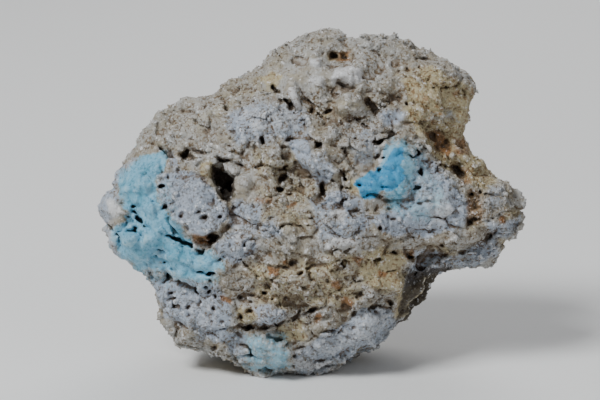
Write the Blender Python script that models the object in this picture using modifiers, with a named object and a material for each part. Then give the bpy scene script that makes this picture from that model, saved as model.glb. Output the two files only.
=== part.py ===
"""A loose hemimorphite specimen: a vuggy piece of host rock with three sky-blue crusts.

The rock is drawn in a face frame, in millimetres: x runs to the right, y runs away from the
eye into the rock, and z runs up the rock's broad face.  settle() leans that face back by
FACE_LEAN, stands the rock on its flat foot and turns millimetres into metres.
"""
import math

import bmesh
import bpy
from mathutils import Matrix, Vector, noise
from mathutils.bvhtree import BVHTree

# Driving sizes, in millimetres and degrees.
MM = 0.001
FACE_LEAN = math.radians(14.0)
FRONT_BULGE = 15.0
BACK_BULGE = 28.0
FOOT_CUT = 2.0
GAP = 0.3
CRUST_DEPTH = 2.0
CRUST_ROUGHNESS = 0.3
CRUST_EDGE_STEP = 2.2
CRUST_EDGE_WAVE = 0.9
CRUST_EDGE_SEED = 4
ROUGH_VOXEL = 1.0
FINE_VOXEL = 0.85
BED_VOXEL = 1.2
LUMP_VOXEL = 0.6
HOLLOW_LIFT = 0.15
BODY_TRIANGLES = 7300
BED_TRIANGLES = 900
FRONT_FAVOUR = 0.01
LEAST_BACK_SHARE = 0.2
RING_POINTS = 88

# The plain finishes, each a colour and a roughness.
HOST_ROCK = (0.56, 0.52, 0.46)
HOST_ROCK_ROUGHNESS = 0.85
CRUST_BLUE_ROUGHNESS = 0.55

# The broad face's outline, clockwise from the notch at the top.
OUTLINE = [
    (8.4, 33.9), (9.4, 34.0), (12.0, 35.4), (15.5, 35.7), (19.7, 34.6), (24.1, 32.7),
    (26.4, 30.6), (29.6, 29.0), (32.4, 25.6), (33.4, 22.4), (34.8, 20.8), (33.4, 18.0),
    (33.6, 14.5), (35.5, 9.0), (37.8, 7.0), (44.0, 3.7), (44.1, -0.2), (45.0, -2.0),
    (44.1, -5.5), (41.5, -8.6), (38.2, -12.4), (33.0, -13.4), (27.5, -14.3), (25.2, -16.0),
    (26.4, -20.4), (22.4, -24.0), (17.8, -25.4), (17.0, -27.6), (13.8, -30.4), (11.0, -32.2),
    (3.8, -35.7), (-1.0, -36.0), (-5.0, -35.4), (-7.5, -36.1), (-11.7, -36.0), (-15.1, -33.8),
    (-19.9, -32.9), (-24.8, -31.0), (-28.7, -28.5), (-31.6, -23.3), (-32.0, -20.4),
    (-33.6, -17.8), (-32.9, -15.2), (-40.5, -11.2), (-41.6, -8.0), (-44.9, -1.9), (-43.6, 0.6),
    (-40.8, 2.4), (-40.4, 4.8), (-38.6, 7.4), (-38.4, 9.2), (-36.2, 12.4), (-31.7, 18.2),
    (-26.6, 21.2), (-22.9, 23.1), (-19.0, 24.4), (-14.9, 27.3), (-10.8, 28.0), (-9.5, 30.4),
    (-2.6, 33.4), (4.2, 37.6), (7.4, 36.8),
]


class Ring:
    """One section of the rock, cut square to the line of sight."""

    def __init__(self, depth, width, height, shift_x, shift_z, roundness):
        """Keep a section's place and size.

        depth is in mm behind the outline, width and height scale the outline, the shifts are in
        mm, and roundness runs from 0, the outline's own corners, to 1, a plain oval.
        """
        self.depth = depth
        self.width = width
        self.height = height
        self.shift_x = shift_x
        self.shift_z = shift_z
        self.roundness = roundness


# The foot stays wide to the back, so the lower sections hardly rise.
RINGS = [
    Ring(-FRONT_BULGE, 0.30, 0.28, -3.0, 2.0, 0.7),
    Ring(-0.80 * FRONT_BULGE, 0.55, 0.52, -2.5, 1.5, 0.4),
    Ring(-0.52 * FRONT_BULGE, 0.78, 0.76, -1.5, 0.6, 0.15),
    Ring(-0.24 * FRONT_BULGE, 0.925, 0.915, -0.5, 0.2, 0.0),
    Ring(0.0, 1.0, 1.0, 0.0, 0.0, 0.0),
    Ring(0.22 * BACK_BULGE, 0.975, 0.985, 0.0, -0.6, 0.12),
    Ring(0.48 * BACK_BULGE, 0.90, 0.92, -0.5, -2.6, 0.38),
    Ring(0.72 * BACK_BULGE, 0.77, 0.80, -0.5, -4.6, 0.62),
    Ring(0.90 * BACK_BULGE, 0.56, 0.60, -0.5, -6.0, 0.8),
    Ring(BACK_BULGE, 0.28, 0.30, -0.5, -6.5, 1.0),
]
OVAL_HALF_WIDTH = 41.0
OVAL_HALF_HEIGHT = 34.0

# Lumps, each (name, x, z, half width, half height, stand-out, turn in degrees).
LUMPS = [
    ("cauliflower lump", 8.5, 20.2, 3.4, 2.9, 2.0, 10),
    ("white smooth lump", 7.2, 26.4, 4.2, 1.8, 1.5, -8),
    ("upper white patch", 0.6, 28.8, 2.4, 2.2, 0.9, 40),
    ("upper left shoulder", -20.0, 18.2, 8.5, 3.4, 1.3, 32),
    ("upper left knuckle", -30.2, 12.6, 4.2, 2.2, 1.1, 40),
    ("lavender swell", -9.4, 15.0, 6.6, 4.2, 1.5, -6),
    ("ragged plate", 2.0, 8.8, 4.8, 3.4, 1.3, -35),
    ("lower ragged plate", 5.0, 1.4, 2.4, 2.2, 1.2, 20),
    ("right cheek", 30.0, 1.0, 7.5, 5.0, 1.8, -20),
    ("wedge back", 38.5, -0.5, 4.8, 4.0, 1.4, -35),
    ("wedge lip", 33.5, -6.0, 8.0, 1.7, 1.8, 12),
    ("ochre brow", 25.5, 22.0, 5.0, 6.0, 1.3, 20),
    ("top right knob", 17.5, 31.0, 5.0, 2.6, 1.2, -10),
    ("left tip bulge", -40.6, -0.4, 3.6, 3.4, 1.2, -40),
    ("upper blue bulge", -34.8, 4.2, 4.2, 4.6, 1.5, 0),
    ("lower blue bulge", -35.2, -8.2, 4.8, 3.4, 1.4, -20),
    ("middle blue bulge", -26.2, -12.0, 4.0, 2.6, 1.2, -20),
    ("lacy plate", -22.4, -2.8, 5.4, 5.0, 1.6, 0),
    ("lower lacy swell", -14.0, -9.0, 4.4, 3.6, 1.0, 30),
    ("deep blue upper lobe", 17.6, 8.2, 2.8, 4.2, 1.7, -18),
    ("deep blue lower lobe", 15.2, 3.2, 5.2, 2.5, 1.9, 6),
    ("amber swell", 14.4, -14.4, 4.6, 3.4, 1.3, 15),
    ("strata step", -2.0, -15.0, 9.0, 1.8, 1.2, -4),
    ("strata shelf", 6.0, -20.4, 8.5, 1.6, 1.2, 6),
    ("lavender slab", -7.2, -23.2, 5.6, 2.8, 1.4, -6),
    ("lower left swell", -26.5, -23.0, 4.6, 4.0, 1.2, -30),
    ("lower right band", 8.0, -27.6, 7.8, 3.0, 1.5, 32),
    ("foot bulge", -8.8, -30.6, 5.4, 4.2, 1.7, 0),
]

# Hollows, each (name, x, z, half width, half height, depth, turn in degrees).
HOLLOWS = [
    ("deep hole", -18.7, 3.8, 2.4, 4.6, 9.0, -12),
    ("three cornered pocket", -26.4, 9.6, 2.0, 1.4, 4.0, -10),
    ("top vug", 5.9, 30.6, 2.5, 1.5, 5.0, 8),
    ("slanted slit", -4.8, 21.2, 1.1, 3.2, 3.5, 35),
    ("crevice right of the lump", 13.0, 19.0, 1.3, 2.6, 3.5, -20),
    ("crevice left of the lump", 4.0, 18.2, 1.2, 1.3, 3.0, 20),
    ("brown pocket", 26.9, 12.9, 3.4, 2.6, 3.2, 10),
    ("right hollow", 31.2, 6.0, 2.0, 2.1, 3.4, 30),
    ("pore row hollow", 23.6, 25.8, 3.2, 1.5, 2.4, -35),
    ("centre pit", -1.6, 4.4, 4.8, 2.6, 2.6, -15),
    ("centre slot", 2.4, 2.8, 1.3, 2.3, 3.4, -20),
    ("plate pocket", 6.2, 7.2, 1.6, 2.0, 2.8, -30),
    ("cavity under the lacy plate", -20.8, -7.8, 2.4, 1.3, 3.4, 10),
    ("dark green crevice", -36.0, -5.2, 1.6, 1.1, 2.4, 30),
    ("under ledge crevice", 27.0, -9.6, 7.5, 1.3, 4.2, 12),
    ("dark notch", 24.6, -13.0, 3.6, 1.7, 6.0, 12),
    ("strata pit", 0.4, -22.4, 1.4, 1.2, 2.6, 0),
    ("left strata pit", -6.0, -20.2, 1.6, 1.0, 2.6, -10),
    ("right strata pit", 6.4, -21.8, 1.4, 1.2, 2.6, 0),
    ("crevice under the slab", -5.6, -27.0, 4.6, 1.0, 2.8, -12),
    ("lower left pit", -28.2, -20.8, 2.2, 1.3, 2.6, -25),
]

# The step below the right ledge: the face stops here and a back mass shows behind it.
STEP_CENTRE = (26.5, -9.0, -31.8)
STEP_SIZE = (20.0, 36.0, 30.0)
STEP_TURN = 34.0
STEP_ROUNDING = 2.5

# The pale blade that stands beside the slit and the stub below it, each
# (name, x, z, length, width, thickness, turn in degrees).
BLADE_LIFT = 0.5
BLADES = [
    ("pale blade", -3.9, 21.6, 4.4, 1.3, 0.9, 24),
    ("short blade", -6.6, 19.4, 2.6, 1.0, 0.8, 38),
]

# The crusts' edges, in the face frame.
LEFT_CRUST = [
    (-33.4, 10.4), (-28.4, 10.2), (-27.8, 7.6), (-29.0, 3.6), (-30.0, 0.2), (-28.6, -3.6),
    (-26.0, -7.4), (-22.0, -10.0), (-18.6, -11.2), (-20.2, -15.0), (-22.0, -17.6),
    (-26.0, -16.0), (-31.7, -14.6), (-35.0, -14.0), (-39.7, -13.4), (-46.0, -12.0),
    (-47.0, -5.2), (-40.0, -5.6), (-37.2, -3.4), (-37.6, -0.4), (-40.4, 2.2), (-47.0, 3.4),
    (-46.0, 8.8), (-39.0, 10.6),
]
CENTRE_CRUST = [
    (14.6, 12.5), (16.8, 12.6), (18.5, 11.2), (20.1, 9.6), (20.8, 6.6), (22.8, 4.8),
    (21.0, 2.4), (18.4, 0.8), (13.4, 0.4), (10.2, 0.8), (9.4, 2.6), (10.6, 4.6), (13.6, 5.8),
    (15.0, 8.6),
]
FOOT_CRUST = [
    (-14.0, -30.0), (-11.6, -27.8), (-8.2, -27.0), (-5.0, -28.4), (-3.6, -31.4),
    (-4.4, -33.6), (-8.4, -34.2), (-12.6, -33.6), (-14.6, -31.8),
]
CRUST_FRONT = -40.0
LEFT_CRUST_BACK = 5.0
FLAT_CRUST_BACK = 1.0
FLOOR_REACH = 80.0
FLOOR_DEPTH = 40.0


class Crust:
    """One blue crust: its edge on the face, how far back it reaches, and its colour."""

    def __init__(self, name, corners, back, colour):
        """Keep a crust's name, its edge in mm, how far back it reaches, and its colour."""
        self.name = name
        self.corners = corners
        self.back = back
        self.colour = colour


CRUSTS = [
    Crust("blue_crust_left", LEFT_CRUST, LEFT_CRUST_BACK, (0.46, 0.70, 0.78)),
    Crust("blue_crust_centre", CENTRE_CRUST, FLAT_CRUST_BACK, (0.28, 0.62, 0.76)),
    Crust("blue_crust_foot", FOOT_CRUST, FLAT_CRUST_BACK, (0.56, 0.74, 0.74)),
]


def new_collection(name):
    """Make a collection of the scene."""
    collection = bpy.data.collections.new(name)
    bpy.context.scene.collection.children.link(collection)
    return collection


def add_object(name, mesh, collection):
    """Put a mesh in the scene as an object."""
    item = bpy.data.objects.new(name, mesh)
    collection.objects.link(item)
    return item


def hide_as_cutter(item):
    """Show a cutter as a wire cage that isn't rendered."""
    item.hide_render = True
    item.display_type = "WIRE"


def bake_modifiers(item):
    """Turn an object's modifiers into its mesh."""
    bpy.context.view_layer.update()
    graph = bpy.context.evaluated_depsgraph_get()
    mesh = bpy.data.meshes.new_from_object(item.evaluated_get(graph))
    item.modifiers.clear()
    item.data = mesh


def principled(name, colour, roughness):
    """Make a plain stone finish."""
    material = bpy.data.materials.new(name)
    material.use_nodes = True
    shader = material.node_tree.nodes["Principled BSDF"]
    shader.inputs["Base Color"].default_value = (*colour, 1.0)
    shader.inputs["Roughness"].default_value = roughness
    shader.inputs["Metallic"].default_value = 0.0
    material.diffuse_color = (*colour, 1.0)
    return material


def even_points(corners, count):
    """Return count points spaced evenly along a closed line of corners."""
    loop = [Vector(corner) for corner in corners]
    sides = [(loop[(i + 1) % len(loop)] - loop[i]).length for i in range(len(loop))]
    step = sum(sides) / count
    points = []
    side = 0
    passed = 0.0
    for i in range(count):
        while passed + sides[side] < i * step:
            passed += sides[side]
            side += 1
        share = (i * step - passed) / sides[side]
        points.append(loop[side].lerp(loop[(side + 1) % len(loop)], share))
    return points


def ring_points(ring, outline):
    """Return the points of one section, in the face frame."""
    points = []
    for corner in outline:
        angle = math.atan2(corner.y / OVAL_HALF_HEIGHT, corner.x / OVAL_HALF_WIDTH)
        oval = Vector((OVAL_HALF_WIDTH * math.cos(angle), OVAL_HALF_HEIGHT * math.sin(angle)))
        flat = corner.lerp(oval, ring.roundness)
        points.append(
            Vector((
                flat.x * ring.width + ring.shift_x,
                ring.depth,
                flat.y * ring.height + ring.shift_z,
            ))
        )
    return points


def loft_rock(collection):
    """Loft the rock's sections into one closed body."""
    outline = even_points(OUTLINE, RING_POINTS)
    form = bmesh.new()
    loops = [[form.verts.new(point) for point in ring_points(ring, outline)] for ring in RINGS]
    for near, far in zip(loops, loops[1:]):
        for i in range(RING_POINTS):
            j = (i + 1) % RING_POINTS
            form.faces.new((near[i], near[j], far[j], far[i]))
    for loop in (loops[0], loops[-1]):
        middle = form.verts.new(sum((vert.co for vert in loop), Vector()) / RING_POINTS)
        for i in range(RING_POINTS):
            form.faces.new((loop[i], loop[(i + 1) % RING_POINTS], middle))
    bmesh.ops.recalc_face_normals(form, faces=form.faces)
    mesh = bpy.data.meshes.new("rock form")
    form.to_mesh(mesh)
    form.free()
    return add_object("rock form", mesh, collection)


def search_tree(item):
    """Return a tree for finding an object's surface."""
    bpy.context.view_layer.update()
    graph = bpy.context.evaluated_depsgraph_get()
    return BVHTree.FromObject(item, graph)


def on_face(tree, x, z):
    """Return the point and the outward direction of the broad face at x, z."""
    far_out = Vector((x, CRUST_FRONT, z))
    point, normal, _, _ = tree.ray_cast(far_out, Vector((0.0, 1.0, 0.0)))
    if point is None:
        point, normal, _, _ = tree.find_nearest(Vector((x, 0.0, z)))
    return point, normal


def placed(point, normal, turn):
    """Return the frame on a surface, turned about its normal by degrees, right end up."""
    swing = Vector((0.0, -1.0, 0.0)).rotation_difference(normal).to_matrix().to_4x4()
    spin = Matrix.Rotation(-math.radians(turn), 4, "Y")
    return Matrix.Translation(point) @ swing @ spin


def join_balls(name, tree, rows, collection, cut):
    """Make one object of the flattened balls that the rows list, in or on the face."""
    form = bmesh.new()
    for _, x, z, half_width, half_height, depth, turn in rows:
        point, normal = on_face(tree, x, z)
        size = Matrix.Diagonal((half_width, depth, half_height, 1.0))
        lift = Matrix.Translation(normal * (HOLLOW_LIFT * depth if cut else 0.0))
        bmesh.ops.create_icosphere(
            form,
            subdivisions=3,
            radius=1.0,
            matrix=lift @ placed(point, normal, turn) @ size,
        )
    mesh = bpy.data.meshes.new(name)
    form.to_mesh(mesh)
    form.free()
    item = add_object(name, mesh, collection)
    melt(item, LUMP_VOXEL)
    return item


def melt(item, voxel):
    """Fuse everything in an object into one skin of even faces."""
    remesh = item.modifiers.new("fuse", "REMESH")
    remesh.mode = "VOXEL"
    remesh.voxel_size = voxel
    bake_modifiers(item)


def boolean(item, other, operation):
    """Join, cut or keep the common part of two bodies."""
    step = item.modifiers.new(operation.lower(), "BOOLEAN")
    step.operation = operation
    step.solver = "EXACT"
    step.object = other
    bake_modifiers(item)


def add_blades(tree, collection):
    """Make the flat sided blades as stretched six sided prisms with a chisel end."""
    form = bmesh.new()
    for _, x, z, length, width, thickness, turn in BLADES:
        point, normal = on_face(tree, x, z)
        stance = placed(point + normal * BLADE_LIFT, normal, turn)
        size = Matrix.Diagonal((width, thickness, length, 1.0))
        bmesh.ops.create_cone(
            form,
            cap_ends=True,
            segments=6,
            radius1=0.5,
            radius2=0.3,
            depth=1.0,
            matrix=stance @ size,
        )
    mesh = bpy.data.meshes.new("blades")
    form.to_mesh(mesh)
    form.free()
    return add_object("blades", mesh, collection)


def inside(x, z, corners):
    """Tell whether a point of the face lies inside a closed line of corners."""
    within = False
    for i, (x1, z1) in enumerate(corners):
        x0, z0 = corners[i - 1]
        if (z0 > z) != (z1 > z) and x < x0 + (x1 - x0) * (z - z0) / (z1 - z0):
            within = not within
    return within


def mark_grounds(item):
    """Give an object one vertex group for bare rock and one for what the crusts cover."""
    bare = item.vertex_groups.new(name="rock")
    coated = item.vertex_groups.new(name="crust")
    for vert in item.data.vertices:
        x, y, z = vert.co
        covered = y < LEFT_CRUST_BACK and any(
            inside(x, z, crust.corners) for crust in CRUSTS
        )
        coated.add([vert.index], 1.0 if covered else 0.0, "REPLACE")
        bare.add([vert.index], CRUST_ROUGHNESS if covered else 1.0, "REPLACE")


def stone_pattern(name, kind, grain):
    """Make a stone-like pattern of a grain in mm."""
    texture = bpy.data.textures.new(name, kind)
    texture.noise_scale = grain
    if kind == "MUSGRAVE":
        texture.musgrave_type = "RIDGED_MULTIFRACTAL"
    return texture


def weather(item, pattern, ground, height, level):
    """Push one ground of an object in and out by a pattern, level being its mean value."""
    step = item.modifiers.new(pattern.name, "DISPLACE")
    step.texture = pattern
    step.texture_coords = "LOCAL"
    step.vertex_group = ground
    step.strength = height
    step.mid_level = level


def weather_body(body):
    """Roughen the bare rock into crags and cobbles, and the crusts into bubbles."""
    mark_grounds(body)
    cobbles = stone_pattern("cobbles", "VORONOI", 6.5)
    cobbles.weight_1 = -1.0
    cobbles.weight_2 = 1.0
    weather(body, stone_pattern("broad swells", "CLOUDS", 13.0), "rock", 3.0, 0.5)
    weather(body, stone_pattern("crags", "MUSGRAVE", 9.0), "rock", 1.3, 0.9)
    weather(body, cobbles, "rock", 2.4, 0.3)
    weather(body, stone_pattern("crumbs", "CLOUDS", 2.2), "rock", 1.2, 0.5)
    weather(body, stone_pattern("bubbles", "VORONOI", 3.4), "crust", -1.8, 0.55)
    bake_modifiers(body)
    body.vertex_groups.clear()


def keep_largest(item):
    """Delete every loose crumb of an object but its main body."""
    form = bmesh.new()
    form.from_mesh(item.data)
    waiting = set(form.verts)
    islands = []
    while waiting:
        seed = waiting.pop()
        island = {seed}
        front = [seed]
        while front:
            vert = front.pop()
            for edge in vert.link_edges:
                other = edge.other_vert(vert)
                if other in waiting:
                    waiting.discard(other)
                    island.add(other)
                    front.append(other)
        islands.append(island)
    islands.sort(key=len, reverse=True)
    for island in islands[1:]:
        bmesh.ops.delete(form, geom=list(island), context="VERTS")
    form.to_mesh(item.data)
    form.free()


def thin_out(item, triangles, favour_front=0.0):
    """Bring a body down to about a number of triangles, finest where it bends most.

    favour_front makes the faces towards the eye finer than those at the back.
    """
    item.data.calc_loop_triangles()
    step = item.modifiers.new("thin out", "DECIMATE")
    step.ratio = triangles / len(item.data.loop_triangles)
    step.use_collapse_triangulate = True
    if favour_front:
        group = item.vertex_groups.new(name="back")
        for vert in item.data.vertices:
            share = 0.5 + vert.co.y / BACK_BULGE
            group.add([vert.index], min(1.0, max(LEAST_BACK_SHARE, share)), "REPLACE")
        step.vertex_group = group.name
        step.vertex_group_factor = favour_front
    bake_modifiers(item)
    item.vertex_groups.clear()


def half_space(name, corner_low, corner_high, collection):
    """Make a box cutter between two corners."""
    form = bmesh.new()
    low = Vector(corner_low)
    high = Vector(corner_high)
    place = Matrix.Translation((low + high) / 2.0) @ Matrix.Diagonal((*(high - low), 1.0))
    bmesh.ops.create_cube(form, size=1.0, matrix=place)
    mesh = bpy.data.meshes.new(name)
    form.to_mesh(mesh)
    form.free()
    item = add_object(name, mesh, collection)
    hide_as_cutter(item)
    return item


def step_cutter(collection):
    """Make the rounded block that takes the face away below the right ledge."""
    form = bmesh.new()
    place = (
        Matrix.Translation(STEP_CENTRE)
        @ Matrix.Rotation(math.radians(STEP_TURN), 4, "Y")
        @ Matrix.Diagonal((*STEP_SIZE, 1.0))
    )
    bmesh.ops.create_cube(form, size=1.0, matrix=place)
    mesh = bpy.data.meshes.new("step")
    form.to_mesh(mesh)
    form.free()
    item = add_object("step", mesh, collection)
    rounding = item.modifiers.new("rounding", "BEVEL")
    rounding.width = STEP_ROUNDING
    rounding.segments = 3
    bake_modifiers(item)
    hide_as_cutter(item)
    return item


def ragged(corners):
    """Return a line of corners with its long sides broken into natural bays and points."""
    around = sum((Vector(corners[i]) - Vector(corners[i - 1])).length for i in range(len(corners)))
    points = even_points(corners, round(around / CRUST_EDGE_STEP))
    return [
        point + noise.noise_vector((point.x, 0.0, point.y)).xz * CRUST_EDGE_WAVE
        for point in points
    ]


def grown_outline(corners, margin):
    """Push a closed line of corners outwards by a margin."""
    count = len(corners)
    area = sum(corners[i - 1].cross(corners[i]) for i in range(count))
    side = 1.0 if area > 0.0 else -1.0
    grown = []
    for i in range(count):
        before = (corners[i] - corners[i - 1]).normalized()
        after = (corners[(i + 1) % count] - corners[i]).normalized()
        out = Vector((before.y + after.y, -before.x - after.x)) * side
        stretch = max(0.5, out.length / 2.0)
        grown.append(corners[i] + out.normalized() * margin / stretch)
    return grown


def crust_cutter(name, corners, margin, back, bed, collection):
    """Make the space of a crust: a prism through the face, less the bed of rock under it."""
    line = bpy.data.curves.new(name, "CURVE")
    line.dimensions = "2D"
    line.fill_mode = "BOTH"
    spline = line.splines.new("POLY")
    points = grown_outline(ragged(corners), margin)
    spline.points.add(len(points) - 1)
    for knot, point in zip(spline.points, points):
        knot.co = (point.x, point.y, 0.0, 1.0)
    spline.use_cyclic_u = True
    line.extrude = (back + margin - CRUST_FRONT) / 2.0
    middle = (back + margin + CRUST_FRONT) / 2.0
    sheet = add_object(name + " line", line, collection)
    bpy.context.view_layer.update()
    graph = bpy.context.evaluated_depsgraph_get()
    mesh = bpy.data.meshes.new_from_object(sheet.evaluated_get(graph))
    bpy.data.objects.remove(sheet)
    stand = Matrix.Translation((0.0, middle, 0.0)) @ Matrix.Rotation(math.pi / 2.0, 4, "X")
    mesh.transform(stand)
    form = bmesh.new()
    form.from_mesh(mesh)
    bmesh.ops.remove_doubles(form, verts=form.verts, dist=0.0001)
    bmesh.ops.recalc_face_normals(form, faces=form.faces)
    form.to_mesh(mesh)
    form.free()
    item = add_object(name, mesh, collection)
    hide_as_cutter(item)
    boolean(item, bed, "DIFFERENCE")
    return item


def copy_of(item, name, collection):
    """Make a second object with its own copy of a mesh."""
    return add_object(name, item.data.copy(), collection)


def sunk_copy(item, name, depth, collection):
    """Make a copy of a body whose skin lies a depth below the first one's."""
    sunk = copy_of(item, name, collection)
    step = sunk.modifiers.new("sink", "DISPLACE")
    step.strength = -depth
    step.mid_level = 0.0
    bake_modifiers(sunk)
    hide_as_cutter(sunk)
    return sunk


def make_beds(smooth, collection):
    """Make the bed that the crusts lie on, and the rock's own one a gap below it."""
    bed = sunk_copy(smooth, "crust bed", CRUST_DEPTH, collection)
    melt(bed, BED_VOXEL)
    thin_out(bed, BED_TRIANGLES)
    rock_bed = sunk_copy(bed, "rock bed", GAP, collection)
    return bed, rock_bed


def make_body(collection, cutters):
    """Build the whole rough rock, and the smooth one that its crusts are bedded on."""
    body = loft_rock(collection)
    tree = search_tree(body)
    lumps = join_balls("lumps", tree, LUMPS, cutters, cut=False)
    hollows = join_balls("hollows", tree, HOLLOWS, cutters, cut=True)
    blades = add_blades(tree, cutters)
    boolean(body, lumps, "UNION")
    smooth = copy_of(body, "smooth rock", cutters)
    melt(smooth, ROUGH_VOXEL)
    boolean(body, hollows, "DIFFERENCE")
    boolean(body, step_cutter(cutters), "DIFFERENCE")
    boolean(body, blades, "UNION")
    melt(body, ROUGH_VOXEL)
    weather_body(body)
    melt(body, FINE_VOXEL)
    keep_largest(body)
    thin_out(body, BODY_TRIANGLES, favour_front=FRONT_FAVOUR)
    for helper in (lumps, hollows, blades, smooth):
        hide_as_cutter(helper)
    return body, smooth


def lean_back(item):
    """Turn an object from the face frame to the standing frame."""
    item.data.transform(Matrix.Rotation(-FACE_LEAN, 4, "X"))


def cut_foot(item, level, collection):
    """Cut an object flat below a level, in the standing frame."""
    floor = half_space(
        "floor under " + item.name,
        (-FLOOR_REACH, -FLOOR_REACH, level - FLOOR_DEPTH),
        (FLOOR_REACH, FLOOR_REACH, level),
        collection,
    )
    boolean(item, floor, "DIFFERENCE")


def finish(item, colour, roughness):
    """Give an object one plain finish."""
    item.data.materials.clear()
    item.data.materials.append(principled(item.name, colour, roughness))


def make_crust(crust, body, bed, collection, cutters):
    """Cut one crust out of a body's skin, down to the bed."""
    item = copy_of(body, crust.name, collection)
    space = crust_cutter(crust.name + " space", crust.corners, 0.0, crust.back, bed, cutters)
    boolean(item, space, "INTERSECT")
    keep_largest(item)
    finish(item, crust.colour, CRUST_BLUE_ROUGHNESS)
    return item


def make_room(crust, matrix, rock_bed, cutters):
    """Cut the room that a crust needs out of the host rock, a gap wider than the crust."""
    room = crust_cutter(crust.name + " room", crust.corners, GAP, crust.back, rock_bed, cutters)
    boolean(matrix, room, "DIFFERENCE")


def settle(items, floor_level):
    """Stand the pieces on the floor, centre their box on the origin and scale to metres."""
    corners = [vert.co for item in items for vert in item.data.vertices]
    middle_x = (min(c.x for c in corners) + max(c.x for c in corners)) / 2.0
    middle_y = (min(c.y for c in corners) + max(c.y for c in corners)) / 2.0
    shift = Matrix.Translation((-middle_x, -middle_y, -floor_level))
    place = Matrix.Scale(MM, 4) @ shift
    for item in items:
        item.data.transform(place)
        item.data.update()


def main():
    """Build the specimen."""
    for item in list(bpy.data.objects):
        bpy.data.objects.remove(item, do_unlink=True)
    noise.seed_set(CRUST_EDGE_SEED)
    specimen = new_collection("hemimorphite specimen")
    cutters = new_collection("cutters")
    matrix, smooth = make_body(specimen, cutters)
    matrix.name = "matrix"
    bed, rock_bed = make_beds(smooth, cutters)
    pieces = [make_crust(crust, matrix, bed, specimen, cutters) for crust in CRUSTS]
    for crust in CRUSTS:
        make_room(crust, matrix, rock_bed, cutters)
    keep_largest(matrix)
    finish(matrix, HOST_ROCK, HOST_ROCK_ROUGHNESS)
    pieces.insert(0, matrix)
    for item in pieces:
        lean_back(item)
    floor_level = min(vert.co.z for vert in matrix.data.vertices) + FOOT_CUT
    cut_foot(matrix, floor_level, cutters)
    settle(pieces, floor_level)


if __name__ == "__main__":
    main()
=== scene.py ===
"""Dress the hemimorphite specimen: its host rock, blue crusts, druse, floor, light and camera.

The solids of the frame give the rock's form.  A block of cells holds the distance to their skin,
and the rock is carved there: noise makes the crags and grains, and the named hollows, lumps and
plates of the broad face are cut where the photograph shows them.  Places on the broad face are
pixels of the photograph's 600 by 400 frame, seen from the camera that photographed it.
"""
from __future__ import annotations

import logging
import math
from dataclasses import dataclass, field, replace
from enum import Enum
from typing import Any, Iterable, Sequence

import bpy
import numpy as np
import openvdb
from mathutils import Matrix, Vector


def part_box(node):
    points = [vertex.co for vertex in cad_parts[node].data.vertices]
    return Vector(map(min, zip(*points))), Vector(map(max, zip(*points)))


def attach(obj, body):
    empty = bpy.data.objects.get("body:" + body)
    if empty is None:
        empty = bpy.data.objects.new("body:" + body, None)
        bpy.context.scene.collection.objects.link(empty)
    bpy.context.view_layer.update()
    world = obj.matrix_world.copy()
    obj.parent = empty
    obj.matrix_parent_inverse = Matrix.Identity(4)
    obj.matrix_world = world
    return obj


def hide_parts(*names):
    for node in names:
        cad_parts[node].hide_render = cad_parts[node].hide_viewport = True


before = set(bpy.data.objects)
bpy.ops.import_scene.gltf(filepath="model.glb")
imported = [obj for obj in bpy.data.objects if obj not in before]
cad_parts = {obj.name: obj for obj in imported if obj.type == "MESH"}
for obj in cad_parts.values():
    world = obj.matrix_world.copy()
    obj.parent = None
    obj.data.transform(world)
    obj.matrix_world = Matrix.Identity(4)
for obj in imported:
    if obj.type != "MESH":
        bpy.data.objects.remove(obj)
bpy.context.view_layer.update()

LOG = logging.getLogger("specimen")
MM = 0.001
FRAME_WIDTH = 600
FRAME_HEIGHT = 400
SENSOR_MM = 36.0
Array = np.ndarray


def ease(low: float, high: float, value: Array) -> Array:
    """Return 0 below low, 1 above high and a smooth step between.

    Args:
        low: the value where the step starts.
        high: the value where the step ends.
        value: the values to step.

    Returns:
        An array of shares from 0 to 1.
    """
    share = np.clip((value - low) / (high - low), 0.0, 1.0)
    return share * share * (3.0 - 2.0 * share)


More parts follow.
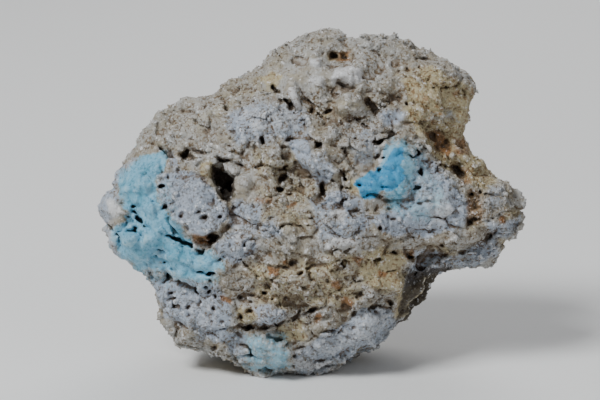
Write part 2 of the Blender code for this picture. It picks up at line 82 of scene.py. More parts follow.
@dataclass(frozen=True)
class Viewpoint:
    """The camera's place: how high it looks from, how far off, and what it looks at."""

    elevation: float = 14.0
    lens_mm: float = 135.0
    distance_mm: float = 465.4
    aim_mm: tuple[float, float, float] = (-2.4, 0.0, 34.5)
    aim_drop_mm: float = 0.64

    @property
    def pixels_per_tangent(self) -> float:
        """Return how many pixels a slope of one covers."""
        return self.lens_mm / SENSOR_MM * FRAME_WIDTH

    def axes(self) -> tuple[Array, Array, Array]:
        """Return the directions right, up and away from the eye."""
        angle = math.radians(self.elevation)
        right = np.array((1.0, 0.0, 0.0))
        up = np.array((0.0, math.sin(angle), math.cos(angle)))
        away = np.array((0.0, math.cos(angle), -math.sin(angle)))
        return right, up, away

    def target(self) -> Array:
        """Return the point that the camera's axis passes through, in mm."""
        return np.array(self.aim_mm) - self.axes()[1] * self.aim_drop_mm

    def project(self, points: Array) -> tuple[Array, Array]:
        """Find where points fall in the photograph's frame.

        Args:
            points: rows of x, y, z in mm.

        Returns:
            The pixel columns and the pixel rows.
        """
        right, up, away = (axis.astype(points.dtype) for axis in self.axes())
        seen = points - self.target().astype(points.dtype)
        depth = seen @ away + points.dtype.type(self.distance_mm)
        scale = self.pixels_per_tangent / depth
        u = FRAME_WIDTH / 2.0 + seen @ right * scale
        v = FRAME_HEIGHT / 2.0 - seen @ up * scale
        return u, v

    def ray(self, u: float, v: float) -> tuple[Array, Array]:
        """Return the eye's place in mm and the direction in which it sees a pixel."""
        right, up, away = self.axes()
        across = (u - FRAME_WIDTH / 2.0) / self.pixels_per_tangent
        rise = (FRAME_HEIGHT / 2.0 - v) / self.pixels_per_tangent
        return self.target() - away * self.distance_mm, away + right * across + up * rise

    def place_camera(self) -> bpy.types.Object:
        """Make the scene's camera."""
        data = bpy.data.cameras.new("camera")
        data.lens = self.lens_mm
        data.sensor_width = SENSOR_MM
        data.clip_start = 0.01
        camera = bpy.data.objects.new("camera", data)
        bpy.context.scene.collection.objects.link(camera)
        away = Vector(self.axes()[2])
        camera.location = (Vector(self.target()) - away * self.distance_mm) * MM
        camera.rotation_euler = away.to_track_quat("-Z", "Y").to_euler()
        bpy.context.scene.camera = camera
        return camera


@dataclass(frozen=True)
class Oval:
    """An oval on the broad face, in pixels of the photograph's frame.

    turn is in degrees, right end up.  amount is in mm for relief, and a share for a tint.
    """

    name: str
    u: float
    v: float
    half_u: float
    half_v: float
    amount: float
    turn: float = 0.0


@dataclass(frozen=True)
class Patch:
    """An area of the broad face inside a line of corners, in pixels of the frame."""

    name: str
    amount: float
    edge: float
    corners: tuple[tuple[float, float], ...]


@dataclass(frozen=True)
class Crack:
    """A crack or groove along a line of points, in pixels, with a half width and a depth in mm."""

    name: str
    half_width: float
    depth: float
    points: tuple[tuple[float, float], ...]


DOME_POWER = 0.8


class Chart:
    """A sheet over the photograph's frame on which the face's features are drawn."""

    per_pixel = 2

    def __init__(self) -> None:
        """Lay out the sheet's grid of places."""
        u = (np.arange(FRAME_WIDTH * self.per_pixel, dtype=np.float32) + 0.5) / self.per_pixel
        v = (np.arange(FRAME_HEIGHT * self.per_pixel, dtype=np.float32) + 0.5) / self.per_pixel
        self.u, self.v = np.meshgrid(u, v)

    def blank(self) -> Array:
        """Return an empty sheet."""
        return np.zeros_like(self.u)

    def window(self, u0: float, v0: float, u1: float, v1: float) -> tuple[slice, slice]:
        """Return the rows and columns of the sheet between two corners."""
        rows = slice(max(0, int(v0 * self.per_pixel)), max(0, int(v1 * self.per_pixel) + 1))
        columns = slice(max(0, int(u0 * self.per_pixel)), max(0, int(u1 * self.per_pixel) + 1))
        return rows, columns

    def radius(self, oval: Oval) -> tuple[tuple[slice, slice], Array]:
        """Measure how far out in an oval each place is, 1 being its rim.

        Args:
            oval: the oval.

        Returns:
            The window that holds the oval, and the radius at each place in it.
        """
        reach = 1.5 * max(oval.half_u, oval.half_v)
        area = self.window(oval.u - reach, oval.v - reach, oval.u + reach, oval.v + reach)
        across = self.u[area] - oval.u
        down = self.v[area] - oval.v
        angle = math.radians(oval.turn)
        along = across * math.cos(angle) - down * math.sin(angle)
        side = across * math.sin(angle) + down * math.cos(angle)
        return area, np.sqrt((along / oval.half_u) ** 2 + (side / oval.half_v) ** 2)

    def domes(self, sheet: Array, ovals: Iterable[Oval]) -> None:
        """Add a dome of each oval's amount to a sheet."""
        for oval in ovals:
            area, radius = self.radius(oval)
            sheet[area] += oval.amount * np.clip(1.0 - radius**2, 0.0, 1.0) ** DOME_POWER

    def spots(self, sheet: Array, ovals: Iterable[Oval], edge: float = 0.5) -> None:
        """Raise a sheet to each oval's amount, softly over its outer share edge."""
        for oval in ovals:
            area, radius = self.radius(oval)
            share = 1.0 - ease(1.0 - edge, 1.0 + 0.4 * edge, radius)
            sheet[area] = np.maximum(sheet[area], oval.amount * share)

    def distance_inside(self, corners: Sequence[tuple[float, float]], reach: float) -> Any:
        """Measure the distance into a closed line of corners.

        Args:
            corners: the line's corners, in pixels.
            reach: how far past the line to measure, in pixels.

        Returns:
            The window measured, and the distance there, positive inside.
        """
        low = np.min(corners, axis=0) - reach
        high = np.max(corners, axis=0) + reach
        area = self.window(low[0], low[1], high[0], high[1])
        u = self.u[area]
        v = self.v[area]
        nearest = np.full(u.shape, 1e9, np.float32)
        within = np.zeros(u.shape, bool)
        for i, (u1, v1) in enumerate(corners):
            u0, v0 = corners[i - 1]
            run_u = u1 - u0
            run_v = v1 - v0
            share = ((u - u0) * run_u + (v - v0) * run_v) / (run_u**2 + run_v**2)
            share = np.clip(share, 0.0, 1.0)
            gap = (u - u0 - share * run_u) ** 2 + (v - v0 - share * run_v) ** 2
            nearest = np.minimum(nearest, gap)
            if v0 != v1:
                crosses = (v0 > v) != (v1 > v)
                within ^= crosses & (u < u0 + run_u * (v - v0) / run_v)
        distance = np.sqrt(nearest)
        return area, np.where(within, distance, -distance)

    def fills(self, sheet: Array, patches: Iterable[Patch]) -> None:
        """Raise a sheet to each patch's amount, softly over its edge."""
        for patch in patches:
            area, inside = self.distance_inside(patch.corners, patch.edge)
            share = ease(-patch.edge, patch.edge, inside)
            sheet[area] = np.maximum(sheet[area], patch.amount * share)

    def grooves(self, sheet: Array, cracks: Iterable[Crack]) -> None:
        """Cut each crack into a sheet of relief."""
        for crack in cracks:
            reach = 2.0 * crack.half_width
            for (u0, v0), (u1, v1) in zip(crack.points, crack.points[1:]):
                area = self.window(
                    min(u0, u1) - reach, min(v0, v1) - reach,
                    max(u0, u1) + reach, max(v0, v1) + reach,
                )
                u = self.u[area]
                v = self.v[area]
                run_u = u1 - u0
                run_v = v1 - v0
                share = ((u - u0) * run_u + (v - v0) * run_v) / (run_u**2 + run_v**2)
                share = np.clip(share, 0.0, 1.0)
                gap = np.hypot(u - u0 - share * run_u, v - v0 - share * run_v)
                cut = -crack.depth * (1.0 - ease(0.5, 1.5, gap / crack.half_width))
                sheet[area] = np.minimum(sheet[area], cut)

    def noise(self, grain: float, seed: int) -> Array:
        """Return smooth noise over the sheet, about -1 to 1, with a grain in pixels."""
        rows = spline_weights(self.u.shape[0], 1.0 / self.per_pixel, grain)
        columns = spline_weights(self.u.shape[1], 1.0 / self.per_pixel, grain)
        picks = np.random.default_rng(seed)
        lattice = picks.uniform(-1.8, 1.8, (rows.shape[1], columns.shape[1])).astype(np.float32)
        return rows @ lattice @ columns.T

    def pushed(self, waves: Sequence[tuple[float, float]], seed: int) -> tuple[Array, Array]:
        """Return the sheet's places pushed about, with which a drawing's edges turn ragged.

        Args:
            waves: pairs of a wave's grain and its push, in pixels.
            seed: what the pushes are drawn from.

        Returns:
            The pixel column and row to read at each place.
        """
        u = self.u.copy()
        v = self.v.copy()
        for i, (grain, push) in enumerate(waves):
            u += push * self.noise(grain, seed + 2 * i)
            v += push * self.noise(grain, seed + 2 * i + 1)
        return u, v

    def read(self, sheet: Array, u: Array, v: Array) -> Array:
        """Read a sheet at places of the frame, between its grid's own places."""
        column = np.clip(u * self.per_pixel - 0.5, 0.0, sheet.shape[1] - 1.001)
        row = np.clip(v * self.per_pixel - 0.5, 0.0, sheet.shape[0] - 1.001)
        left = column.astype(np.int32)
        top = row.astype(np.int32)
        right_share = (column - left).astype(np.float32)
        low_share = (row - top).astype(np.float32)
        upper = sheet[top, left] * (1.0 - right_share) + sheet[top, left + 1] * right_share
        lower = sheet[top + 1, left] * (1.0 - right_share) + sheet[top + 1, left + 1] * right_share
        return upper * (1.0 - low_share) + lower * low_share


def spline_weights(count: int, step: float, grain: float) -> Array:
    """Return the weights that turn a coarse row of values into a smooth fine one.

    Args:
        count: how many fine values there are.
        step: the distance between fine values.
        grain: the distance between coarse values.

    Returns:
        A matrix of count rows, with a column for each coarse value.
    """
    place = np.arange(count) * step / grain
    cell = place.astype(int)
    t = place - cell
    weights = np.zeros((count, cell[-1] + 4), np.float32)
    rows = np.arange(count)
    weights[rows, cell] = (1.0 - t) ** 3 / 6.0
    weights[rows, cell + 1] = (3.0 * t**3 - 6.0 * t**2 + 4.0) / 6.0
    weights[rows, cell + 2] = (-3.0 * t**3 + 3.0 * t**2 + 3.0 * t + 1.0) / 6.0
    weights[rows, cell + 3] = t**3 / 6.0
    return weights


def cell_distances(points: Array, cell: float, seed: int) -> tuple[Array, Array, Array]:
    """Measure how far points are from scattered seeds, one to each cell of a lattice.

    Args:
        points: rows of x, y, z in mm.
        cell: the lattice's spacing, in mm.
        seed: what the places of the seeds are drawn from.

    Returns:
        The distances to the nearest and the second nearest seed, in cells, and a random number
        from 0 to 1 that is the same all over each nearest seed's ground.
    """
    drawn = lattice_numbers(seed, 4)
    place = (points / cell).astype(np.float32) + np.float32(LATTICE_MIDDLE)
    home = np.floor(place - 0.5).astype(np.int32)
    nearest = np.full(len(points), 9.0, np.float32)
    second = np.full(len(points), 9.0, np.float32)
    kind = np.zeros(len(points), np.float32)
    for key, corner in lattice_corners(home):
        numbers = drawn[key]
        gap = corner + 0.1 + 0.8 * numbers[:, :3] - place
        distance = np.sqrt(np.einsum("ij,ij->i", gap, gap))
        closer = distance < nearest
        second = np.where(closer, nearest, np.minimum(second, distance))
        kind = np.where(closer, numbers[:, 3], kind)
        nearest = np.where(closer, distance, nearest)
    return nearest, second, kind


def scattered_noise(points: Array, grain: float, seed: int) -> Array:
    """Return smooth noise at points in mm, about -1 to 1, with a grain in mm."""
    drawn = lattice_numbers(seed, 1)[:, 0] * 2.0 - 1.0
    place = (points / grain).astype(np.float32) + np.float32(LATTICE_MIDDLE)
    home = np.floor(place).astype(np.int32)
    share = ease(0.0, 1.0, place - home)
    total = np.zeros(len(points), np.float32)
    for key, corner in lattice_corners(home):
        near = np.where(corner > home, share, 1.0 - share)
        total += drawn[key] * near[:, 0] * near[:, 1] * near[:, 2]
    return 1.5 * total


LATTICE_MIDDLE = 512
LATTICE_BITS = 14


def lattice_numbers(seed: int, count: int) -> Array:
    """Return a table of random numbers from 0 to 1 for a lattice's corners."""
    picks = np.random.default_rng(seed)
    return picks.random((1 << LATTICE_BITS, count)).astype(np.float32)


def lattice_corners(home: Array) -> Iterable[tuple[Array, Array]]:
    """Go through the eight lattice corners at and above a home corner.

    Args:
        home: rows of three whole numbers.

    Returns:
        For each corner, its number in a table of random numbers, and its place.
    """
    for i in (0, 1):
        for j in (0, 1):
            for k in (0, 1):
                corner = home + np.array((i, j, k), np.int32)
                mixed = corner[:, 0] * 7919 ^ corner[:, 1] * 104729 ^ corner[:, 2] * 1299709
                yield mixed & ((1 << LATTICE_BITS) - 1), corner


SEAM = 1.7


def smooth_union(first: Array, second: Array, blend: float) -> Array:
    """Join two distances to a skin, filling the seam between the skins over a blend in mm."""
    close = np.maximum(blend - np.abs(first - second), 0.0) / blend
    return np.minimum(first, second) - close * close * blend / 4.0


class Block:
    """A block of even cells that holds the distance to a skin, in mm, negative inside."""

    def __init__(self, nodes: Sequence[str], cell: float, margin: float, band: float) -> None:
        """Measure the distance to the skin of some of the frame's solids.

        Args:
            nodes: the names of the solids, taken together.
            cell: the size of a cell, in mm.
            margin: the room to leave round the solids, in mm.
            band: how far from the skin the distance is told, in mm.
        """
        self.cell = cell
        corners = np.array([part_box(node) for node in nodes]) / MM
        low = np.floor((corners[:, 0].min(axis=0) - margin) / cell).astype(int)
        high = np.ceil((corners[:, 1].max(axis=0) + margin) / cell).astype(int)
        self.low = low
        self.shape = tuple(int(size) for size in high - low + 1)
        self.transform = openvdb.createLinearTransform(voxelSize=cell)
        self.band = band
        self.skin = np.full(self.shape, band, np.float32)
        for node in nodes:
            self.skin = smooth_union(self.skin, self.measure(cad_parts[node]), SEAM)

    def measure(self, solid: bpy.types.Object) -> Array:
        """Return the distance to one solid's skin, over the block."""
        mesh = solid.data
        mesh.calc_loop_triangles()
        points = np.empty(len(mesh.vertices) * 3, np.float32)
        mesh.vertices.foreach_get("co", points)
        triangles = np.empty(len(mesh.loop_triangles) * 3, np.int32)
        mesh.loop_triangles.foreach_get("vertices", triangles)
        grid = openvdb.FloatGrid.createLevelSetFromPolygons(
            points.reshape(-1, 3) / np.float32(MM),
            triangles=triangles.reshape(-1, 3).astype(np.uint32),
            transform=self.transform,
            halfWidth=self.band / self.cell,
        )
        values = np.empty(self.shape, np.float32)
        grid.copyToArray(values, ijk=tuple(int(i) for i in self.low))
        return values

    def places(self, where: tuple[Array, Array, Array]) -> Array:
        """Return the x, y, z in mm of some cells, given by their indexes."""
        index = np.stack(where, axis=1) + self.low
        return (index * self.cell).astype(np.float32)

    def blurred(self, values: Array, spread: float) -> Array:
        """Return values softened over a spread in mm."""
        reach = max(1, round(2.2 * spread / self.cell))
        steps = np.arange(-reach, reach + 1)
        weights = np.exp(-0.5 * (steps * self.cell / spread) ** 2)
        weights = (weights / weights.sum()).astype(np.float32)
        for axis in range(3):
            size = values.shape[axis]
            rims = [(0, 0)] * 3
            rims[axis] = (reach, reach)
            wide = np.pad(values, rims, mode="edge")
            values = np.zeros_like(values)
            for i, weight in enumerate(weights):
                part = [slice(None)] * 3
                part[axis] = slice(i, i + size)
                values += weight * wide[tuple(part)]
        return values

    def noise(self, grain: float, seed: int) -> Array:
        """Return smooth noise over the block, about -1 to 1, with a grain in mm."""
        x, y, z = (spline_weights(size, self.cell, grain) for size in self.shape)
        picks = np.random.default_rng(seed)
        lattice = picks.uniform(-2.4, 2.4, (x.shape[1], y.shape[1], z.shape[1]))
        sheet = np.tensordot(x, lattice.astype(np.float32), axes=(1, 0))
        sheet = np.tensordot(sheet, y, axes=(1, 1))
        return np.tensordot(sheet, z, axes=(1, 1))

    def read(self, values: Array, points: Array) -> Array:
        """Read values at points in mm, between the cells' own places."""
        place = points / self.cell - self.low
        place = np.clip(place, 0.0, np.array(self.shape) - 1.001)
        corner = place.astype(np.int32)
        share = (place - corner).astype(np.float32)
        total = np.zeros(len(points), np.float32)
        for i in (0, 1):
            for j in (0, 1):
                for k in (0, 1):
                    weight = np.ones(len(points), np.float32)
                    for axis, step in enumerate((i, j, k)):
                        weight *= share[:, axis] if step else 1.0 - share[:, axis]
                    at = values[corner[:, 0] + i, corner[:, 1] + j, corner[:, 2] + k]
                    total += weight * at
        return total

    def balls(self, centres: Array, radii: Array, cut: bool, blend: float = 0.25) -> None:
        """Carve round pores into the skin, or set round grains on it.

        Args:
            centres: rows of x, y, z in mm.
            radii: each ball's radius, in mm.
            cut: whether the balls are pores.
            blend: how wide the seam between a grain and the skin is filled, in mm.
        """
        for centre, radius in zip(centres, radii):
            low = np.floor((centre - radius - blend) / self.cell - 1).astype(int) - self.low
            high = np.ceil((centre + radius + blend) / self.cell + 1).astype(int) - self.low
            low = np.maximum(low, 0)
            high = np.minimum(high + 1, self.shape)
            if np.any(high <= low):
                continue
            axes = [
                (np.arange(a, b) + first) * self.cell - middle
                for a, b, first, middle in zip(low, high, self.low, centre)
            ]
            squares = (
                axes[0][:, None, None] ** 2 + axes[1][None, :, None] ** 2
                + axes[2][None, None, :] ** 2
            )
            ball = (np.sqrt(squares) - radius).astype(np.float32)
            area = tuple(slice(a, b) for a, b in zip(low, high))
            if cut:
                self.skin[area] = np.maximum(self.skin[area], -ball)
            else:
                self.skin[area] = smooth_union(self.skin[area], ball, blend)

    def fullness(self, spread: float) -> Array:
        """Return how full of rock the surroundings are: half on a flat, more in a hollow."""
        filled = np.clip(0.5 - self.skin / self.cell, 0.0, 1.0)
        return self.blurred(filled.astype(np.float32), spread)

    def surface(self) -> tuple[Array, Array]:
        """Return the skin's points in mm and its four-sided faces, its main body only."""
        grid = openvdb.FloatGrid(self.band)
        grid.copyFromArray(self.skin, ijk=tuple(int(i) for i in self.low), tolerance=0.0)
        grid.transform = self.transform
        points, _, quads = grid.convertToPolygons(isovalue=0.0, adaptivity=0.0)
        return main_body(points.astype(np.float32), quads.astype(np.int64))


def main_body(points: Array, quads: Array) -> tuple[Array, Array]:
    """Drop every loose crumb of a mesh, and any bubble inside it.

    Args:
        points: rows of x, y, z.
        quads: rows of four point numbers.

    Returns:
        The points and faces of the largest connected body.
    """
    label = np.arange(len(points))
    ends = np.concatenate([quads[:, [0, 1]], quads[:, [1, 2]], quads[:, [2, 3]]])
    while True:
        lower = np.minimum(label[ends[:, 0]], label[ends[:, 1]])
        before = label.copy()
        np.minimum.at(label, ends[:, 0], lower)
        np.minimum.at(label, ends[:, 1], lower)
        label = label[label]
        label = label[label]
        if np.array_equal(before, label):
            break
    names, counts = np.unique(label, return_counts=True)
    kept = label == names[counts.argmax()]
    number = np.cumsum(kept) - 1
    faces = number[quads[kept[quads[:, 0]]]]
    return points[kept], faces


def mesh_object(name: str, points: Array, faces: Array) -> bpy.types.Object:
    """Make an object from points in mm and faces with equally many corners.

    Args:
        name: the object's name.
        points: rows of x, y, z in mm.
        faces: rows of point numbers.

    Returns:
        The object, with its faces pointing out.
    """
    corner_count = faces.shape[1]
    first, second, third = (points[faces[:, i]] for i in range(3))
    volume = np.einsum("ij,ij->i", first, np.cross(second, third)).sum(dtype=np.float64)
    if volume < 0.0:
        faces = faces[:, ::-1]
    mesh = bpy.data.meshes.new(name)
    mesh.vertices.add(len(points))
    mesh.vertices.foreach_set("co", (points * MM).astype(np.float32).ravel())
    mesh.loops.add(faces.size)
    mesh.loops.foreach_set("vertex_index", faces.astype(np.int32).ravel())
    mesh.polygons.add(len(faces))
    starts = np.arange(0, faces.size, corner_count, dtype=np.int32)
    mesh.polygons.foreach_set("loop_start", starts)
    mesh.update(calc_edges=True)
    item = bpy.data.objects.new(name, mesh)
    bpy.context.scene.collection.objects.link(item)
    return item


def vertex_points(item: bpy.types.Object) -> Array:
    """Return an object's points in mm."""
    points = np.empty(len(item.data.vertices) * 3, np.float32)
    item.data.vertices.foreach_get("co", points)
    return points.reshape(-1, 3) / np.float32(MM)


def vertex_normals(item: bpy.types.Object) -> Array:
    """Return the outward direction at an object's points."""
    normals = np.empty(len(item.data.vertices) * 3, np.float32)
    item.data.vertices.foreach_get("normal", normals)
    return normals.reshape(-1, 3)


def thin_out(item: bpy.types.Object, share: float, freedom: Array) -> None:
    """Bring an object down to a share of its triangles.

    Args:
        item: the object.
        share: the share of triangles to keep.
        freedom: how freely each point may go, from 0 to 1.
    """
    levels = 8
    group = item.vertex_groups.new(name="thinned")
    level = np.ceil(np.clip(freedom, 1.0 / levels, 1.0) * levels).astype(int)
    for i in range(1, levels + 1):
        group.add(np.flatnonzero(level == i).tolist(), i / levels, "REPLACE")
    step = item.modifiers.new("thin out", "DECIMATE")
    step.ratio = share
    step.vertex_group = group.name
    step.vertex_group_factor = 0.01
    bpy.context.view_layer.update()
    graph = bpy.context.evaluated_depsgraph_get()
    mesh = bpy.data.meshes.new_from_object(item.evaluated_get(graph))
    item.modifiers.clear()
    item.vertex_groups.clear()
    item.data = mesh


def triangle_count(item: bpy.types.Object) -> int:
    """Return how many triangles an object has."""
    item.data.calc_loop_triangles()
    return len(item.data.loop_triangles)


def store(item: bpy.types.Object, name: str, values: Array) -> None:
    """Keep a value for each point of an object, for its finish to read."""
    attribute = item.data.attributes.new(name, "FLOAT", "POINT")
    attribute.data.foreach_set("value", np.ascontiguousarray(values, np.float32))


class Tint(Enum):
    """What lies on the stone in zones, and where shade is painted on it, by the name of the value that each point
    keeps.
    """

    BLUE = "blue"
    DEEP = "deep"
    LAVENDER = "lavender"
    OCHRE = "ochre"
    RUST = "rust"
    PALE = "pale"
    # painted shade: near black in the deep hole, pits, cracks and shadowed recesses, partly the dark oxide that lines
    # the pits
    DARK = "painted_shade"
    POROUS = "porous"
    SMOOTH = "smooth"


LEFT_BLUE = (
    (144, 153), (165, 152.5), (167, 166), (164, 174), (157, 176), (156, 193), (161, 204), (174, 220),
    (184, 232), (192, 240), (202, 250), (216, 253), (218, 260), (214, 271), (208, 281), (184, 281),
    (171, 270), (150, 268), (134, 266), (118, 250), (112, 240), (108, 226), (122, 222), (129, 213),
    (124, 199), (117, 186), (124, 171), (137, 160),
)
DEEP_BLUE = (
    (387, 146), (396, 142), (406, 149), (408, 158), (403, 165), (405, 175), (405, 183), (396, 189),
    (390, 194), (379, 194.5), (369, 197), (361, 194), (356, 186), (358, 177), (366, 172.5), (376, 170),
    (381, 159), (383, 151),
)
FOOT_BLUE = (
    (232, 344), (243, 332), (266, 332), (284, 338), (287, 344), (287, 359), (291, 369), (266, 374),
    (255, 371), (246, 359),
)
PITS = (
    Oval("under left ledge", 162.0, 187.5, 4.5, 2.5, 1.2, 20.0),
    Oval("left crevice", 140.0, 221.0, 6.0, 2.4, 0.9, -35.0),
    Oval("left crevice end", 145.0, 227.5, 4.5, 2.0, 0.8, -20.0),
    Oval("left crevice heel", 135.0, 229.0, 3.0, 1.8, 0.6),
    Oval("strip pit 1", 178.0, 240.0, 3.2, 1.8, 0.7),
    Oval("strip pit 2", 185.0, 243.5, 2.8, 1.8, 0.7),
    Oval("strip pit 3", 191.0, 246.0, 3.4, 1.6, 0.7),
    Oval("speckle pit 1", 164.5, 265.0, 2.4, 2.0, 0.8),
    Oval("speckle pit 2", 171.0, 270.5, 2.2, 2.0, 0.8),
    Oval("speckle pit 3", 152.0, 262.0, 2.0, 1.8, 0.6),
    Oval("lace hole 1", 173.0, 204.0, 3.5, 3.0, 1.5),
    Oval("lace hole 2", 181.5, 214.0, 2.8, 2.6, 1.3),
    Oval("lace hole 3", 197.7, 212.6, 2.3, 2.3, 1.5),
    Oval("lace hole 4", 203.0, 218.6, 3.4, 3.8, 1.6),
    Oval("lace hole 5", 219.4, 218.0, 2.8, 2.8, 1.2),
    Oval("lace hole 6", 189.4, 228.0, 2.4, 4.0, 1.3),
    Oval("cavity under lace", 215.0, 237.0, 8.0, 5.0, 2.4, 15.0),
    Oval("hole right", 230.0, 187.0, 5.0, 6.0, 2.2),
    Oval("pocket under ledge", 185.5, 155.0, 8.0, 5.0, 2.2, -8.0),
    Oval("top vug left", 333.5, 55.5, 4.5, 4.5, 2.2),
    Oval("top vug right", 343.0, 55.0, 6.5, 4.5, 1.4),
    Oval("slit", 291.0, 103.0, 4.0, 6.5, 2.0, -10.0),
    Oval("crevice right of lump", 372.0, 108.0, 5.0, 9.5, 2.4, 25.0),
    Oval("crevice left of lump", 329.5, 111.0, 5.0, 3.0, 1.8, 20.0),
    Oval("crevice further left", 312.0, 111.5, 3.5, 4.5, 1.5),
    Oval("ring pit", 265.0, 124.5, 2.6, 1.6, 0.6),
    Oval("pore row 1", 409.0, 69.0, 2.0, 1.8, 0.8),
    Oval("pore row 2", 419.0, 67.0, 2.0, 1.8, 0.8),
    Oval("pore row 3", 427.0, 79.0, 2.4, 2.0, 0.9),
    Oval("pore row 4", 436.0, 84.0, 2.0, 1.8, 0.8),
    Oval("pore row 5", 446.5, 88.0, 2.4, 2.4, 1.0),
    Oval("olive pit", 376.5, 142.0, 5.5, 2.8, 1.4, 10.0),
    Oval("pit above blue", 418.5, 153.0, 3.2, 3.0, 1.3),
    Oval("right hollow", 459.0, 171.0, 4.5, 8.0, 1.2, 25.0),
    Oval("slot 1", 263.0, 142.0, 3.2, 4.2, 1.5),
    Oval("slot 2", 282.5, 145.0, 3.8, 1.6, 1.0),
    Oval("slot 3", 290.0, 139.0, 4.2, 2.2, 1.2),
    Oval("black cavity", 319.5, 146.0, 5.4, 4.6, 2.4),
    Oval("black slot", 323.5, 187.0, 3.0, 7.5, 2.2),
    Oval("triangular pit", 280.0, 189.5, 5.4, 3.4, 1.9),
    Oval("brown slot", 282.0, 178.5, 3.0, 7.5, 1.4, -30.0),
    Oval("centre pit 1", 293.5, 161.0, 2.6, 2.2, 1.0),
    Oval("centre pit 2", 285.0, 166.0, 2.2, 2.2, 0.8),
    Oval("centre pit 3", 264.0, 176.0, 5.5, 2.4, 1.0, -35.0),
    Oval("centre pit 4", 290.0, 196.0, 4.2, 2.2, 1.1),
    Oval("star centre", 339.0, 218.0, 3.0, 2.4, 0.9),
    Oval("strip pit right 1", 422.5, 203.0, 4.4, 2.4, 0.9),
    Oval("strip pit right 2", 445.5, 206.0, 2.6, 2.2, 0.9),
    Oval("pit under blue", 393.0, 218.5, 5.6, 2.0, 0.8),
    Oval("black slot under blue", 378.5, 228.5, 2.0, 5.0, 1.8),
    Oval("wedge porous 1", 472.0, 196.0, 4.0, 3.4, 1.2),
    Oval("wedge porous 2", 476.0, 207.0, 4.4, 4.2, 1.3),
    Oval("wedge crevice", 473.0, 221.5, 8.5, 5.0, 1.8, 30.0),
    Oval("ledge notch", 442.0, 246.0, 3.4, 3.2, 1.7),
    Oval("ledge pit 1", 409.0, 256.0, 5.2, 4.0, 1.5),
    Oval("ledge pit 2", 392.5, 252.5, 4.6, 2.8, 1.2),
    Oval("strata pit 1", 294.5, 262.0, 4.6, 4.0, 1.5),
    Oval("strata pit 2", 301.5, 272.5, 2.8, 2.8, 1.1),
    Oval("strata pit 3", 326.5, 279.5, 2.8, 2.8, 1.1),
    Oval("strata pit 4", 285.5, 298.5, 3.8, 3.6, 1.4),
    Oval("strata pit 5", 272.5, 298.5, 2.0, 2.6, 1.0),
    Oval("strata pit 6", 265.0, 291.0, 3.2, 2.4, 1.1),
    Oval("strata pit 7", 337.0, 297.5, 2.4, 3.6, 1.2),
    Oval("strata pit 8", 344.5, 305.0, 2.0, 2.2, 0.9),
    Oval("strata pit 9", 312.0, 309.5, 4.2, 3.6, 1.4),
    Oval("strata pit 10", 388.5, 302.0, 4.8, 3.2, 1.3),
    Oval("slab pit 1", 241.0, 316.0, 3.6, 3.2, 1.7),
    Oval("slab pit 2", 249.0, 311.0, 4.2, 2.8, 1.2),
    Oval("under slab", 249.0, 329.0, 6.2, 2.4, 2.0),
    Oval("lower left pit 1", 170.5, 294.5, 4.6, 2.8, 0.9),
    Oval("lower left pit 2", 187.0, 307.5, 3.4, 2.8, 0.9),
    Oval("lower left pit 3", 189.0, 316.0, 2.4, 2.2, 0.9),
    Oval("lower left pit 4", 214.5, 309.0, 2.6, 3.8, 1.3),
    Oval("lower left pit 5", 210.5, 289.5, 2.0, 1.6, 1.0),
    Oval("lower left pit 6", 216.0, 295.0, 2.2, 3.2, 1.3),
    Oval("lower left pit 7", 215.0, 346.0, 3.4, 3.2, 1.3),
)
